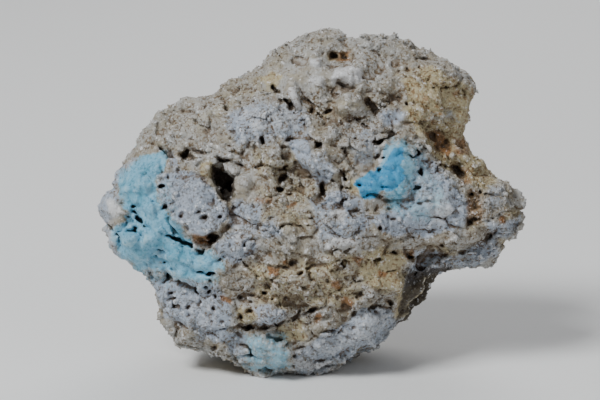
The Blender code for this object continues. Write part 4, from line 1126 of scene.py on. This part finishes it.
@dataclass
class Carver:
    """Carves the whole stone as one skin: its large form is the frame's, and the rest is made here."""

    sight: Viewpoint
    cell: float = 0.3
    band: float = 3.3
    reach: float = 2.8
    softening: float = 0.4
    foot_level: float = 0.0
    crusts: tuple[str, ...] = ("blue_crust_left", "blue_crust_centre", "blue_crust_foot")
    pore_count: int = 2200
    grain_count: int = 900
    block: Block = field(init=False)
    chart: Chart = field(init=False)
    facing: Array = field(init=False)
    near_fullness: Array = field(init=False)
    wide_fullness: Array = field(init=False)
    skin_points: Array = field(init=False)
    zones: dict[Tint, Array] = field(init=False, default_factory=dict)
    crust_depth: dict[str, Array] = field(init=False, default_factory=dict)

    def carve(self) -> None:
        """Carve the block's skin and keep what the finishes need to know of it."""
        self.block = Block(("matrix", *self.crusts), self.cell, 1.5, self.band)
        self.chart = Chart()
        block = self.block
        for name in self.crusts:
            self.crust_depth[name] = block.measure(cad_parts[name])
        block.skin = block.blurred(block.skin, self.softening)
        for knob, rim in KNOBS:
            self.set_knob(knob, rim)
        self.facing = self.toward_eye()
        self.draw_zones()
        where = np.nonzero(np.abs(block.skin) < self.reach)
        block.skin[where] -= self.coarse_relief(block.places(where), where)
        self.pierce()
        where = np.nonzero(np.abs(block.skin) < 1.0)
        block.skin[where] -= self.fine_relief(block.places(where), where)
        self.flatten_foot()
        self.near_fullness = block.fullness(0.7)
        self.wide_fullness = block.fullness(2.0)
        LOG.info("carved a block of %d cells", block.skin.size)

    def toward_eye(self) -> Array:
        """Return how far the skin's broad form turns to the camera, from -1 to 1, over the block."""
        smooth = self.block.blurred(self.block.skin, 1.2)
        slopes = np.gradient(smooth, self.cell)
        away = self.sight.axes()[2].astype(np.float32)
        length = np.sqrt(slopes[0] ** 2 + slopes[1] ** 2 + slopes[2] ** 2) + 1e-6
        return -(slopes[0] * away[0] + slopes[1] * away[1] + slopes[2] * away[2]) / length

    def coarse_relief(self, points: Array, where: tuple[Array, Array, Array]) -> Array:
        """Return how far the skin moves out for plates, crags, cavities and the face's drawing.

        Args:
            points: the cells' places, in mm.
            where: the cells' indexes.

        Returns:
            The move at each cell, in mm.
        """
        block = self.block
        crust = self.crust_share(where)
        face = ease(0.08, 0.4, self.facing[where])
        u, v = self.sight.project(points)
        drawn = self.chart.read(self.relief_sheet(), u, v)
        broad = block.noise(5.0, 3)[where]
        middle = block.noise(2.4, 4)[where]
        small = block.noise(1.3, 5)[where]
        bent = points + 0.7 * np.stack((middle, small, broad), axis=1)
        bent[:, 2] = 1.5 * (bent[:, 2] + bent[:, 0] * (0.5 * ease(8.0, 60.0, points[:, 2]) - 0.08))
        near, second, kind = cell_distances(bent, 7.0, 11)
        width = np.clip(0.10 + 0.08 * middle, 0.02, 0.3)
        plates = 1.3 * (kind - 0.5) - 0.8 * (1.0 - ease(0.0, 1.0, (second - near) / width))
        near, second, kind = cell_distances(bent, 2.9, 12)
        width = np.clip(0.09 + 0.09 * broad, 0.01, 0.3)
        plates += 0.5 * (kind - 0.5) - 0.4 * (1.0 - ease(0.0, 1.0, (second - near) / width))
        crag = 0.5 * broad + 0.3 * middle + 0.16 * small
        threshold = 0.9 - 0.65 * self.zone(Tint.POROUS, points, face)
        hollow = 1.5 * ease(0.0, 0.45, 0.75 * middle + 0.65 * small - threshold)
        smooth = self.zone(Tint.SMOOTH, points, face)
        rock = (plates + crag) * (1.0 - 0.55 * smooth) - hollow * (1.0 - smooth)
        near, second, kind = cell_distances(bent, 4.2, 13)
        fold = 1.0 - ease(0.0, 0.3, second - near)
        bubbles = 1.3 * np.maximum(0.45 - near, -0.3) - 0.25 * fold + 0.4 * (kind - 0.5) + 0.3 * broad
        own = rock * (1.0 - crust) + bubbles * crust * (1.0 - 0.2 * smooth)
        return 0.85 * own + face * drawn

    def fine_relief(self, points: Array, where: tuple[Array, Array, Array]) -> Array:
        """Return how far the skin moves out for chinks, pits and grain, in mm.

        Args:
            points: the cells' places, in mm.
            where: the cells' indexes.

        Returns:
            The move at each cell.
        """
        block = self.block
        crust = self.crust_share(where)
        face = ease(0.08, 0.4, self.facing[where])
        smooth = self.zone(Tint.SMOOTH, points, face)
        porous = self.zone(Tint.POROUS, points, face)
        small = block.noise(1.1, 6)[where]
        tiny = block.noise(0.72, 7)[where]
        bent = points + 0.25 * np.stack((small, tiny, -small), axis=1)
        near, second, kind = cell_distances(bent, 1.25, 14)
        chink = 1.0 - ease(0.0, 0.16, second - near)
        rock = 0.28 * (kind - 0.5) - 0.16 * chink + 0.14 * small + 0.12 * tiny
        pits = ease(0.0, 0.4, 0.8 * tiny + 0.5 * small - 1.0 + 0.45 * porous)
        rock = rock * (1.0 - 0.6 * smooth) - 0.7 * pits * (1.0 - 0.8 * smooth)
        near, second, _ = cell_distances(bent, 1.8, 15)
        bubbles = 0.45 * (0.42 - near) - 0.1 * (1.0 - ease(0.0, 0.25, second - near)) + 0.08 * tiny
        return rock * (1.0 - crust) + bubbles * crust * (1.0 - 0.3 * smooth)

    def zone(self, tint: Tint, points: Array, face: Array) -> Array:
        """Return how strongly a zone holds at some points.

        Args:
            tint: which zone.
            points: rows of x, y, z in mm.
            face: how much each point belongs to the broad face.

        Returns:
            The zone's share at each point: as drawn on the face, and patchy elsewhere.
        """
        number = list(Tint).index(tint)
        wave = scattered_noise(points, 8.0, 60 + number) + 0.4 * scattered_noise(points, 2.4, 80 + number)
        wild = WILD_SHARE[tint] * ease(0.0, 0.8, wave)
        drawn = self.chart.read(self.zones[tint], *self.sight.project(points))
        return face * drawn + (1.0 - face) * wild

    def crust_share(self, where: tuple[Array, Array, Array]) -> Array:
        """Return how much some cells belong to a blue crust."""
        share = 0.0
        for depth in self.crust_depth.values():
            share = np.maximum(share, 1.0 - ease(0.3, 2.2, depth[where]))
        return share

    def crust_share_at(self, points: Array) -> Array:
        """Return how much some points in mm belong to a blue crust."""
        share = np.zeros(len(points), np.float32)
        for depth in self.crust_depth.values():
            share = np.maximum(share, 1.0 - ease(0.3, 2.2, self.block.read(depth, points)))
        return share

    def relief_sheet(self) -> Array:
        """Draw the relief of the broad face, in mm."""
        chart = self.chart
        sheet = chart.blank()
        chart.fills(sheet, PLATES)
        chart.domes(sheet, LUMPS)
        cuts = chart.blank()
        chart.spots(cuts, PITS, 0.75)
        grooves = chart.blank()
        chart.grooves(grooves, CRACKS)
        broken = ease(-0.7, 0.5, chart.noise(7.0, 20))
        sheet -= 1.05 * np.maximum(cuts, -grooves * (0.1 + 0.9 * broken))
        recesses = chart.blank()
        chart.fills(recesses, RECESSES)
        sheet -= recesses
        return chart.read(sheet, *chart.pushed(CARVED_WAVES, 21))

    def pierce(self) -> None:
        """Cut small pores all over the rock and set small grains on it."""
        block = self.block
        picks = np.random.default_rng(31)
        where = np.nonzero(np.abs(block.skin) < 0.22)
        points = block.places(where)
        patchy = scattered_noise(points, 6.0, 32)
        odds = np.clip(0.3 + patchy, 0.03, 1.0) * (1.0 - 0.85 * self.crust_share(where))
        chosen = picks.choice(len(points), self.pore_count, replace=False, p=odds / odds.sum())
        radii = 0.2 + 0.4 * picks.random(self.pore_count) ** 4
        block.balls(points[chosen], radii, cut=True)
        chosen = picks.choice(len(points), self.grain_count, replace=False)
        radii = 0.25 + 0.35 * picks.random(self.grain_count)
        block.balls(points[chosen], radii, cut=False)

    def seen_at(self, u: float, v: float) -> Array:
        """Return the point of the skin that shows at a pixel, in mm."""
        eye, direction = self.sight.ray(u, v)
        steps = self.sight.distance_mm + np.arange(-40.0, 40.0, 0.1)
        points = (eye + steps[:, None] * direction).astype(np.float32)
        reached = self.block.read(self.block.skin, points) < 0.0
        return points[np.argmax(reached)]

    def set_knob(self, knob: Oval, rim: tuple[float, float]) -> None:
        """Set a ball of stone in a hollow, at the depth of a pixel on the hollow's rim.

        Args:
            knob: the ball's pixel, with its radius in mm as its half width.
            rim: the pixel whose depth it takes.
        """
        eye, direction = self.sight.ray(knob.u, knob.v)
        depth = float((self.seen_at(*rim) - eye) @ self.sight.axes()[2])
        centre = eye + (depth + knob.amount) * direction
        self.block.balls(centre[None], np.array([knob.half_u]), cut=False, blend=1.6)

    def flatten_foot(self) -> None:
        """Keep the stone above the level that it stands on."""
        heights = (np.arange(self.block.shape[2]) + self.block.low[2]) * self.cell
        floor = (self.foot_level - heights).astype(np.float32)
        self.block.skin = np.maximum(self.block.skin, floor[None, None, :])

    def draw_zones(self) -> None:
        """Draw the colour zones of the broad face."""
        chart = self.chart
        ragged = chart.pushed(((26.0, 3.0), (9.0, 3.0), (3.5, 2.0)), 41)
        carved = chart.pushed(CARVED_WAVES, 21)
        crisp = chart.pushed(((12.0, 2.2), (5.0, 2.2), (2.4, 1.6)), 61)
        for tint, patches in TINTS.items():
            sheet = chart.blank()
            chart.fills(sheet, patches)
            if tint in RIMS:
                rims = [replace(pit, half_u=1.5 * pit.half_u, half_v=1.5 * pit.half_v, amount=RIMS[tint])
                        for pit in PITS if pit.amount > 0.75]
                chart.spots(sheet, rims, 0.7)
            # painted shade in every pit and in the deeper cracks
            if tint is Tint.DARK:
                stains = [replace(pit, amount=min(1.0, 0.33 * pit.amount)) for pit in PITS]
                chart.spots(sheet, stains, 0.7)
                cuts = chart.blank()
                chart.grooves(cuts, [crack for crack in CRACKS if crack.depth > 0.75])
                broken = ease(-0.7, 0.5, chart.noise(7.0, 20))
                sheet = np.maximum(sheet, np.clip(-0.3 * cuts * broken, 0.0, 0.8))
                self.zones[tint] = chart.read(sheet, *carved)
            elif tint in (Tint.RUST, Tint.PALE):
                self.zones[tint] = chart.read(sheet, *carved)
            elif tint in (Tint.BLUE, Tint.DEEP, Tint.SMOOTH):
                self.zones[tint] = chart.read(sheet, *crisp)
            else:
                self.zones[tint] = chart.read(sheet, *ragged)

    def paint(self, item: bpy.types.Object) -> None:
        """Store each zone's strength at an object's points."""
        block = self.block
        points = vertex_points(item)
        face = ease(-0.15, 0.15, block.read(self.facing, points))
        share = {tint: self.zone(tint, points, face) for tint in Tint}
        near = block.read(self.near_fullness, points)
        wide = block.read(self.wide_fullness, points)
        # painted shade where the surroundings are full of rock, and painted highlight on crests where they are empty
        store(item, "shade", np.clip(2.4 * (near - 0.52) + 2.6 * (wide - 0.52), 0.0, 1.0))
        store(item, "crest_highlight", np.clip(3.0 * (0.5 - near), 0.0, 1.0))
        behind = np.zeros(len(points), np.float32)
        for name, depth in self.crust_depth.items():
            own = 1.0 - ease(0.0, 2.6, block.read(depth, points) + 0.5 * scattered_noise(points, 2.4, 83))
            behind = np.maximum(behind, own)
        blue = face * share[Tint.BLUE] + (1.0 - face) * behind
        share[Tint.BLUE] = blue * (1.0 - 0.45 * np.maximum(share[Tint.LAVENDER], share[Tint.PALE]))
        share[Tint.DEEP] = share[Tint.DEEP] * (1.0 - 0.85 * share[Tint.PALE])
        for tint, values in share.items():
            store(item, tint.value, values)


class Value:
    """A number in a material's nodes, on which plain arithmetic adds Math nodes."""

    def __init__(self, bench: "Bench", socket: bpy.types.NodeSocket) -> None:
        """Wrap a socket.

        Args:
            bench: where new nodes are made.
            socket: the socket that gives the number.
        """
        self.bench = bench
        self.socket = socket

    def sum_up(self, operation: str, first: Any, second: Any) -> "Value":
        """Return the value of a Math node on two numbers."""
        return self.bench.make("ShaderNodeMath", {"operation": operation}, {0: first, 1: second})

    def __add__(self, other: Any) -> "Value":
        """Return the sum."""
        return self.sum_up("ADD", self, other)

    def __radd__(self, other: Any) -> "Value":
        """Return the sum, with the number first."""
        return self.sum_up("ADD", other, self)

    def __sub__(self, other: Any) -> "Value":
        """Return the difference."""
        return self.sum_up("SUBTRACT", self, other)

    def __rsub__(self, other: Any) -> "Value":
        """Return the difference, with the number first."""
        return self.sum_up("SUBTRACT", other, self)

    def __mul__(self, other: Any) -> "Value":
        """Return the product."""
        return self.sum_up("MULTIPLY", self, other)

    def __rmul__(self, other: Any) -> "Value":
        """Return the product, with the number first."""
        return self.sum_up("MULTIPLY", other, self)

    def step(self, low: float, high: float) -> "Value":
        """Return a smooth step of the value, 0 at low and 1 at high."""
        return self.bench.make(
            "ShaderNodeMapRange",
            {"interpolation_type": "SMOOTHSTEP"},
            {"Value": self, "From Min": low, "From Max": high},
        )


class Bench:
    """Where a material's nodes are made and joined."""

    def __init__(self, name: str) -> None:
        """Start an empty material.

        Args:
            name: the material's name.
        """
        self.material = bpy.data.materials.new(name)
        self.material.use_nodes = True
        self.tree = self.material.node_tree
        self.tree.nodes.clear()

    def make(self, kind: str, settings: dict[str, Any] | None = None,
             inputs: dict[int | str, Any] | None = None, output: int | str = 0) -> Value:
        """Make a node.

        Args:
            kind: the node's type.
            settings: its own settings.
            inputs: the value or the link of each socket, by name or number.
            output: the output to return, by name or number.

        Returns:
            The wrapped output.
        """
        node = self.tree.nodes.new(kind)
        for name, setting in (settings or {}).items():
            if name == "stops":
                self.set_stops(node.color_ramp, setting)
            else:
                setattr(node, name, setting)
        for key, given in (inputs or {}).items():
            socket = node.inputs[key]
            if isinstance(given, Value):
                self.tree.links.new(given.socket, socket)
            else:
                socket.default_value = given
        return Value(self, node.outputs[output])

    @staticmethod
    def set_stops(ramp: bpy.types.ColorRamp, stops: Sequence[tuple[float, Any]]) -> None:
        """Give a ramp its stops, each a place and a colour."""
        while len(ramp.elements) < len(stops):
            ramp.elements.new(0.5)
        for element, (place, colour) in zip(ramp.elements, stops):
            element.position = place
            element.color = (*colour, 1.0)

    def kept(self, name: str) -> Value:
        """Return a value that was stored at the mesh's points."""
        return self.make("ShaderNodeAttribute", {"attribute_name": name}, {}, "Fac")

    def place(self) -> Value:
        """Return the place on the object, in metres."""
        return self.make("ShaderNodeTexCoord", {}, {}, "Object")

    def noise(self, grain_mm: float, detail: float = 2.0, rough: float = 0.5) -> Value:
        """Return noise from 0 to 1 with a grain in mm."""
        return self.make(
            "ShaderNodeTexNoise", {},
            {"Vector": self.place(), "Scale": 1.0 / (grain_mm * MM), "Detail": detail,
             "Roughness": rough},
            "Fac",
        )

    def cells(self, grain_mm: float, output: str) -> Value:
        """Return the distance or the random colour of scattered cells with a size in mm."""
        return self.make(
            "ShaderNodeTexVoronoi", {},
            {"Vector": self.place(), "Scale": 1.0 / (grain_mm * MM)}, output,
        )

    def mix(self, share: Any, first: Any, second: Any, mode: str = "MIX") -> Value:
        """Return one colour laid over another by a share."""
        node = self.tree.nodes.new("ShaderNodeMix")
        node.data_type = "RGBA"
        node.blend_type = mode
        given = {0: share, 6: first, 7: second}
        for number, value in given.items():
            if isinstance(value, Value):
                self.tree.links.new(value.socket, node.inputs[number])
            elif number:
                node.inputs[number].default_value = (*value, 1.0)
            else:
                node.inputs[number].default_value = value
        return Value(self, node.outputs[2])

    def shine(self, colour: Value, roughness: Value, normal: Value, uniform: dict[str, Any]) -> None:
        """Finish the material with its shader.

        Args:
            colour: the base colour.
            roughness: the roughness.
            normal: the bumped normal.
            uniform: other sockets' plain values, by name.
        """
        inputs = {"Base Color": colour, "Roughness": roughness, "Normal": normal, **uniform}
        shader = self.make("ShaderNodeBsdfPrincipled", {}, inputs)
        self.make_output(shader)

    def make_output(self, shader: Value) -> None:
        """Join a shader to the material's output."""
        node = self.tree.nodes.new("ShaderNodeOutputMaterial")
        self.tree.links.new(shader.socket, node.inputs["Surface"])


Colour = tuple[float, float, float]


@dataclass(frozen=True)
class Mineral:
    """A mineral's colour on its grains, a darker colour in the chinks between them that is painted shade and partly a
    brown lining, and where it lies.
    """

    tint: Tint
    grains: Colour
    chinks: Colour


@dataclass(frozen=True)
class StoneFinish:
    """The colours and the grain that rock and crust share, laid on by the zones, with painted shade, highlights and
    glints.
    """

    name: str
    ground: Colour = (0.385, 0.38, 0.36)
    ground_brown: Colour = (0.31, 0.275, 0.21)
    # the chink colours are darker copies of the grain colours: painted shade, browner for the brown lining
    ground_chinks: Colour = (0.21, 0.17, 0.115)
    minerals: tuple[Mineral, ...] = (
        Mineral(Tint.OCHRE, (0.42, 0.36, 0.215), (0.22, 0.13, 0.05)),
        Mineral(Tint.LAVENDER, (0.345, 0.395, 0.47), (0.18, 0.175, 0.165)),
        Mineral(Tint.RUST, (0.28, 0.14, 0.05), (0.12, 0.04, 0.008)),
        Mineral(Tint.PALE, (0.58, 0.58, 0.58), (0.32, 0.29, 0.26)),
        Mineral(Tint.BLUE, (0.185, 0.43, 0.58), (0.055, 0.23, 0.32)),
    )
    # darker deep blue, painted shade in the deep crust's chinks
    deep_blue_shade: Colour = (0.014, 0.12, 0.26)
    deep_blue_light: Colour = (0.045, 0.295, 0.52)
    teal: Colour = (0.095, 0.32, 0.44)
    # dark teal, painted shade in the blue crust's hollows
    blue_hollow_shade: Colour = (0.016, 0.055, 0.055)
    pale_blue: Colour = (0.33, 0.54, 0.63)
    # pale grey, painted highlight on crests
    crest_highlight: Colour = (0.68, 0.69, 0.70)
    # brown lining of hollows and chinks, laid on with painted shade
    stain_and_shade: Colour = (0.13, 0.075, 0.03)
    # near black, painted shade in deep hollows
    hollow: Colour = (0.030, 0.020, 0.012)
    # near white, painted glints
    painted_glint: Colour = (0.85, 0.86, 0.88)
    bump_mm: float = 0.34
    roughness: float = 0.6

    def build(self) -> bpy.types.Material:
        """Return the finished material."""
        bench = Bench(self.name)
        height = self.height(bench)
        normal = bench.make(
            "ShaderNodeBump", {},
            {"Strength": 1.0, "Distance": self.bump_mm * MM, "Height": height}, "Normal",
        )
        glint = bench.make("ShaderNodeSeparateColor", {}, {0: bench.cells(0.42, "Color")}, 0)
        roughness = self.roughness - 0.4 * glint.step(0.88, 0.96)
        bench.shine(self.colour(bench, height), roughness, normal, {"Specular IOR Level": 0.5})
        return bench.material

    def height(self, bench: Bench) -> Value:
        """Return the height of the fine grain, from 0 to 1."""
        rough = bench.noise(0.75, 4.0, 0.68)
        grains = bench.cells(0.42, "Distance")
        height = 1.2 * rough - 0.35 * grains + 0.03
        return height - 0.5 * (height - 0.5) * bench.kept(Tint.SMOOTH.value)

    def colour(self, bench: Bench, height: Value) -> Value:
        """Return the colour of rock and crust together, with painted shade in hollows and chinks, and painted
        highlights and glints on crests.

        Args:
            bench: where the nodes are made.
            height: the height of the fine grain.

        Returns:
            The colour.
        """
        patch = bench.noise(3.0, 4.0, 0.65)
        broad = bench.noise(7.0, 3.0, 0.6)
        speck = bench.noise(0.5, 3.0, 0.7)
        ragged = 0.9 * (speck - 0.5) + 1.0 * (patch - 0.5)
        brown = (broad + 0.5 * (patch - 0.5)).step(0.42, 0.62)
        grains: Any = bench.mix(brown, self.ground, self.ground_brown)
        chinks: Any = self.ground_chinks
        for mineral in self.minerals:
            share = (bench.kept(mineral.tint.value) + ragged).step(0.2, 0.8)
            on_grains: Any = mineral.grains
            in_chinks: Any = mineral.chinks
            if mineral.tint is Tint.BLUE:
                deep = bench.kept(Tint.DEEP.value).step(0.35, 0.8)
                on_grains = bench.mix(patch.step(0.48, 0.75), on_grains, self.pale_blue)
                on_grains = bench.mix(0.8 * broad.step(0.5, 0.36), on_grains, self.teal)
                on_grains = bench.mix(deep, on_grains, self.deep_blue_light)
                in_chinks = bench.mix(deep, in_chinks, self.deep_blue_shade)
            grains = bench.mix(share, grains, on_grains)
            chinks = bench.mix(share, chinks, in_chinks)
        # painted shade: the darker chink colours in the low grain
        colour = bench.mix((height + 0.6 * (patch - 0.5)).step(0.22, 0.52), chinks, grains)
        # painted highlight: pale grey on crests and the highest grain, less on the blue crust
        light = (1.2 * (height - 0.5) + bench.kept("crest_highlight")).step(0.15, 1.2)
        blue = bench.kept(Tint.BLUE.value)
        colour = bench.mix((0.5 - 0.4 * blue) * light, colour, self.crest_highlight)
        # painted shade: browner, then near black, where the surroundings are full of rock and in the lowest grain, dark
        # teal on the blue crust; the brown is partly the real lining
        shade = bench.kept("shade") * (1.0 - 0.2 * blue)
        hollow = bench.mix(blue.step(0.3, 0.6), self.hollow, self.blue_hollow_shade)
        stain_and_shade = bench.mix(blue.step(0.3, 0.6), self.stain_and_shade, self.blue_hollow_shade)
        colour = bench.mix(
            0.7 * (1.3 * shade + 0.8 * (0.45 - height)).step(0.14, 0.7), colour, stain_and_shade
        )
        colour = bench.mix(0.85 * (1.1 * shade + 1.0 * (0.45 - height)).step(0.5, 1.25), colour, hollow)
        # dark brown specks in the lowest grain, more where porous: the pores' brown lining and painted shade
        edge = 0.31 + 0.09 * bench.kept(Tint.POROUS.value) - 0.06 * bench.kept(Tint.SMOOTH.value)
        colour = bench.mix((0.65 - 0.3 * blue) * (edge - height).step(0.0, 0.09), colour, stain_and_shade)
        # painted shade: near black where the painted shade zone holds, deepest in the lowest grain
        painted_shade = (bench.kept(Tint.DARK.value) + 0.8 * (0.45 - height)).step(0.2, 0.85)
        colour = bench.mix(0.92 * painted_shade, colour, hollow)
        # painted glints: near-white specks on a few grains, high on crests, scarcely on the blue crust
        glint = bench.make("ShaderNodeSeparateColor", {}, {0: bench.cells(0.36, "Color")}, 1)
        painted_glint = glint.step(0.9, 0.95) * (height + bench.kept("crest_highlight")).step(0.35, 0.9) * (1.0 - 0.85 * blue)
        return bench.mix(0.6 * painted_glint, colour, self.painted_glint)


@dataclass
class HostRock:
    """The pale host rock, one grown mass."""

    carver: Carver
    triangles: int = 196000
    node: str = "matrix"

    def build(self) -> bpy.types.Object:
        """Make the rock's mesh from the carved skin, and dress it."""
        points, quads = self.carver.block.surface()
        self.carver.skin_points = points
        item = mesh_object("host_rock", points, quads)
        facing = self.carver.block.read(self.carver.facing, vertex_points(item))
        freedom = 1.0 - 0.8 * ease(-0.25, 0.25, facing)
        thin_out(item, self.triangles / (2.0 * len(quads)), freedom)
        self.carver.paint(item)
        item.data.materials.append(StoneFinish("pale_host_rock").build())
        item.data.shade_smooth()
        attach(item, "root")
        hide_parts(self.node)
        LOG.info("host_rock: %d triangles", triangle_count(item))
        return item


@dataclass
class Druse:
    """The small chisel-ended crystals that glint all over the rock, joined in one piece."""

    carver: Carver
    count: int = 18000
    seed: int = 91
    node: str = "matrix"

    def build(self) -> bpy.types.Object:
        """Set the crystals on the carved skin, and dress them."""
        block = self.carver.block
        picks = np.random.default_rng(self.seed)
        points = self.carver.skin_points
        face = ease(-0.1, 0.2, block.read(self.carver.facing, points))
        crust = self.carver.crust_share_at(points)
        patchy = np.clip(0.45 + scattered_noise(points, 5.0, self.seed), 0.04, 1.0)
        smooth = self.carver.zone(Tint.SMOOTH, points, face)
        odds = patchy * (0.35 + 0.65 * face) * (1.0 - 0.9 * smooth) * (1.0 - 0.97 * crust)
        chosen = picks.choice(len(points), self.count, replace=False, p=odds / odds.sum())
        base = points[chosen]
        slopes = [block.read(part, base) for part in np.gradient(block.skin, block.cell)]
        outward = np.stack(slopes, axis=1)
        outward += 0.45 * np.linalg.norm(outward, axis=1, keepdims=True) * picks.normal(size=base.shape)
        axis = outward / np.linalg.norm(outward, axis=1, keepdims=True)
        side = np.cross(axis, picks.normal(size=base.shape))
        side /= np.linalg.norm(side, axis=1, keepdims=True)
        across = np.cross(axis, side)
        size = (0.11 + 0.16 * picks.random(self.count) ** 2)[:, None]
        length = size * (0.9 + 0.7 * picks.random(self.count))[:, None]
        base = base - axis * 0.7 * length
        wide = side * size
        thin = across * size * 0.6
        tip = base + axis * 1.5 * length
        corners = np.stack((
            base - wide - thin, base + wide - thin, base + wide + thin, base - wide + thin,
            tip - 0.55 * wide, tip + 0.55 * wide,
        ), axis=1)
        crystal = np.array((
            (0, 1, 5), (0, 5, 4), (1, 2, 5), (2, 3, 4), (2, 4, 5), (3, 0, 4), (0, 3, 2), (0, 2, 1),
        ))
        faces = (crystal[None] + 6 * np.arange(self.count)[:, None, None]).reshape(-1, 3)
        item = mesh_object("druse", corners.reshape(-1, 3).astype(np.float32), faces)
        self.carver.paint(item)
        item.data.materials.append(StoneFinish("druse_finish", bump_mm=0.05, roughness=0.4).build())
        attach(item, "root")
        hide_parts(self.node)
        LOG.info("druse: %d triangles", triangle_count(item))
        return item


@dataclass
class Blade:
    """The pale flat crystal that stands beside the slit."""

    carver: Carver
    foot: tuple[float, float] = (298.5, 108.0)
    head: tuple[float, float] = (291.0, 89.0)
    half_width_mm: float = 0.9
    half_depth_mm: float = 0.5
    node: str = "matrix"

    def build(self) -> bpy.types.Object:
        """Make the crystal between the two pixels, a six-sided prism with a chisel end."""
        away = self.carver.sight.axes()[2]
        foot = self.carver.seen_at(*self.foot) - 0.1 * away
        head = self.carver.seen_at(*self.head) - 0.7 * away
        axis = (head - foot) / np.linalg.norm(head - foot)
        wide = np.cross(axis, away)
        wide *= self.half_width_mm / np.linalg.norm(wide)
        deep = away * self.half_depth_mm
        section = (wide, 0.45 * wide - deep, -0.55 * wide - deep, -wide, -0.5 * wide + deep, 0.5 * wide + deep)
        low = [foot - 0.5 * axis + 0.75 * part for part in section]
        high = [head - 0.25 * axis + part for part in section]
        ridge = [head + 0.45 * axis + 0.3 * wide, head + 0.3 * axis - 0.35 * wide]
        corners = np.array(low + high + ridge, np.float32)
        faces = [(i, (i + 1) % 6, 6 + (i + 1) % 6) for i in range(6)]
        faces += [(i, 6 + (i + 1) % 6, 6 + i) for i in range(6)]
        faces += [(0, i + 1, i) for i in range(1, 5)]
        faces += [(6, 7, 12), (7, 13, 12), (7, 8, 13), (8, 9, 13), (9, 10, 13), (10, 12, 13), (10, 11, 12),
                  (11, 6, 12)]
        item = mesh_object("pale_blade", corners, np.array(faces))
        for tint in Tint:
            store(item, tint.value, np.full(len(corners), float(tint is Tint.PALE)))
        item.data.materials.append(StoneFinish("pale_blade_finish", bump_mm=0.03, roughness=0.45).build())
        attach(item, "root")
        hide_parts(self.node)
        LOG.info("pale_blade: %d triangles", triangle_count(item))
        return item


@dataclass
class BlueCrust:
    """A sky-blue hemimorphite crust, grown on the host rock."""

    carver: Carver
    node: str
    lift_mm: float = 0.28

    def build(self) -> bpy.types.Object:
        """Make the crust's mesh, a skin that stands just proud of the rock, and dress it."""
        block = self.carver.block
        depth = self.carver.crust_depth[self.node]
        ragged = 0.5 * block.noise(1.8, 81) + 0.35 * block.noise(0.9, 82)
        inside = 1.0 - ease(-0.4, 1.6, depth + ragged)
        skin = np.maximum(block.skin - (1.4 * inside - 1.0) * self.lift_mm, depth - 2.2 + ragged)
        carved = block.skin
        block.skin = skin
        points, quads = block.surface()
        block.skin = carved
        item = mesh_object(self.node.replace("blue_crust", "hemimorphite"), points, quads)
        self.carver.paint(item)
        item.data.materials.append(StoneFinish(f"{self.node}_finish").build())
        item.data.shade_smooth()
        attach(item, "root")
        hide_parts(self.node)
        LOG.info("%s: %d triangles", item.name, triangle_count(item))
        return item


@dataclass(frozen=True)
class Lamp:
    """A soft rectangular light that looks at the stone."""

    name: str
    place: tuple[float, float, float]
    size: float
    watts: float
    colour: Colour = (1.0, 1.0, 1.0)

    def build(self) -> None:
        """Make the light."""
        data = bpy.data.lights.new(self.name, "AREA")
        data.size = self.size
        data.energy = self.watts
        data.color = self.colour
        lamp = bpy.data.objects.new(self.name, data)
        bpy.context.scene.collection.objects.link(lamp)
        lamp.location = self.place
        aim = Vector((0.0, 0.0, 0.035)) - lamp.location
        lamp.rotation_euler = aim.to_track_quat("-Z", "Y").to_euler()


@dataclass
class Studio:
    """The plain pale floor and the soft lights."""

    floor_size: float = 3.0
    floor_colour: Colour = (0.80, 0.80, 0.79)
    lamps: tuple[Lamp, ...] = (
        Lamp("key", (-0.42, -0.40, 0.68), 0.28, 8.0, (0.97, 0.99, 1.0)),
        Lamp("fill", (0.6, -0.5, 0.35), 0.6, 0.8),
        Lamp("back", (0.1, 0.6, 0.6), 0.6, 3.0),
    )

    def build(self) -> None:
        """Make the floor, the lights and the air's even glow."""
        mesh = bpy.data.meshes.new("floor")
        half = self.floor_size / 2.0
        corners = [(-half, -half, 0.0), (half, -half, 0.0), (half, half, 0.0), (-half, half, 0.0)]
        mesh.from_pydata(corners, [], [(0, 1, 2, 3)])
        floor = bpy.data.objects.new("floor", mesh)
        bpy.context.scene.collection.objects.link(floor)
        bench = Bench("floor_paper")
        grain = bench.noise(1.5, 3.0, 0.6)
        light = tuple(min(1.0, 1.04 * part) for part in self.floor_colour)
        colour = bench.mix(grain, self.floor_colour, light)
        normal = bench.make("ShaderNodeBump", {}, {"Strength": 0.2, "Distance": 0.0001, "Height": grain},
                            "Normal")
        bench.shine(colour, 0.85 + 0.05 * grain, normal, {})
        mesh.materials.append(bench.material)
        for lamp in self.lamps:
            lamp.build()
        world = bpy.data.worlds.new("studio_air")
        world.use_nodes = True
        world.node_tree.nodes["Background"].inputs["Color"].default_value = (0.9, 0.93, 1.0, 1.0)
        world.node_tree.nodes["Background"].inputs["Strength"].default_value = 0.19
        bpy.context.scene.world = world


def main() -> None:
    """Build the scene."""
    logging.basicConfig(level=logging.INFO, format="%(name)s: %(message)s")
    sight = Viewpoint()
    sight.place_camera()
    Studio().build()
    carver = Carver(sight)
    carver.carve()
    HostRock(carver).build()
    Druse(carver).build()
    Blade(carver).build()
    for node in carver.crusts:
        BlueCrust(carver, node).build()


if __name__ == "__main__":
    main()
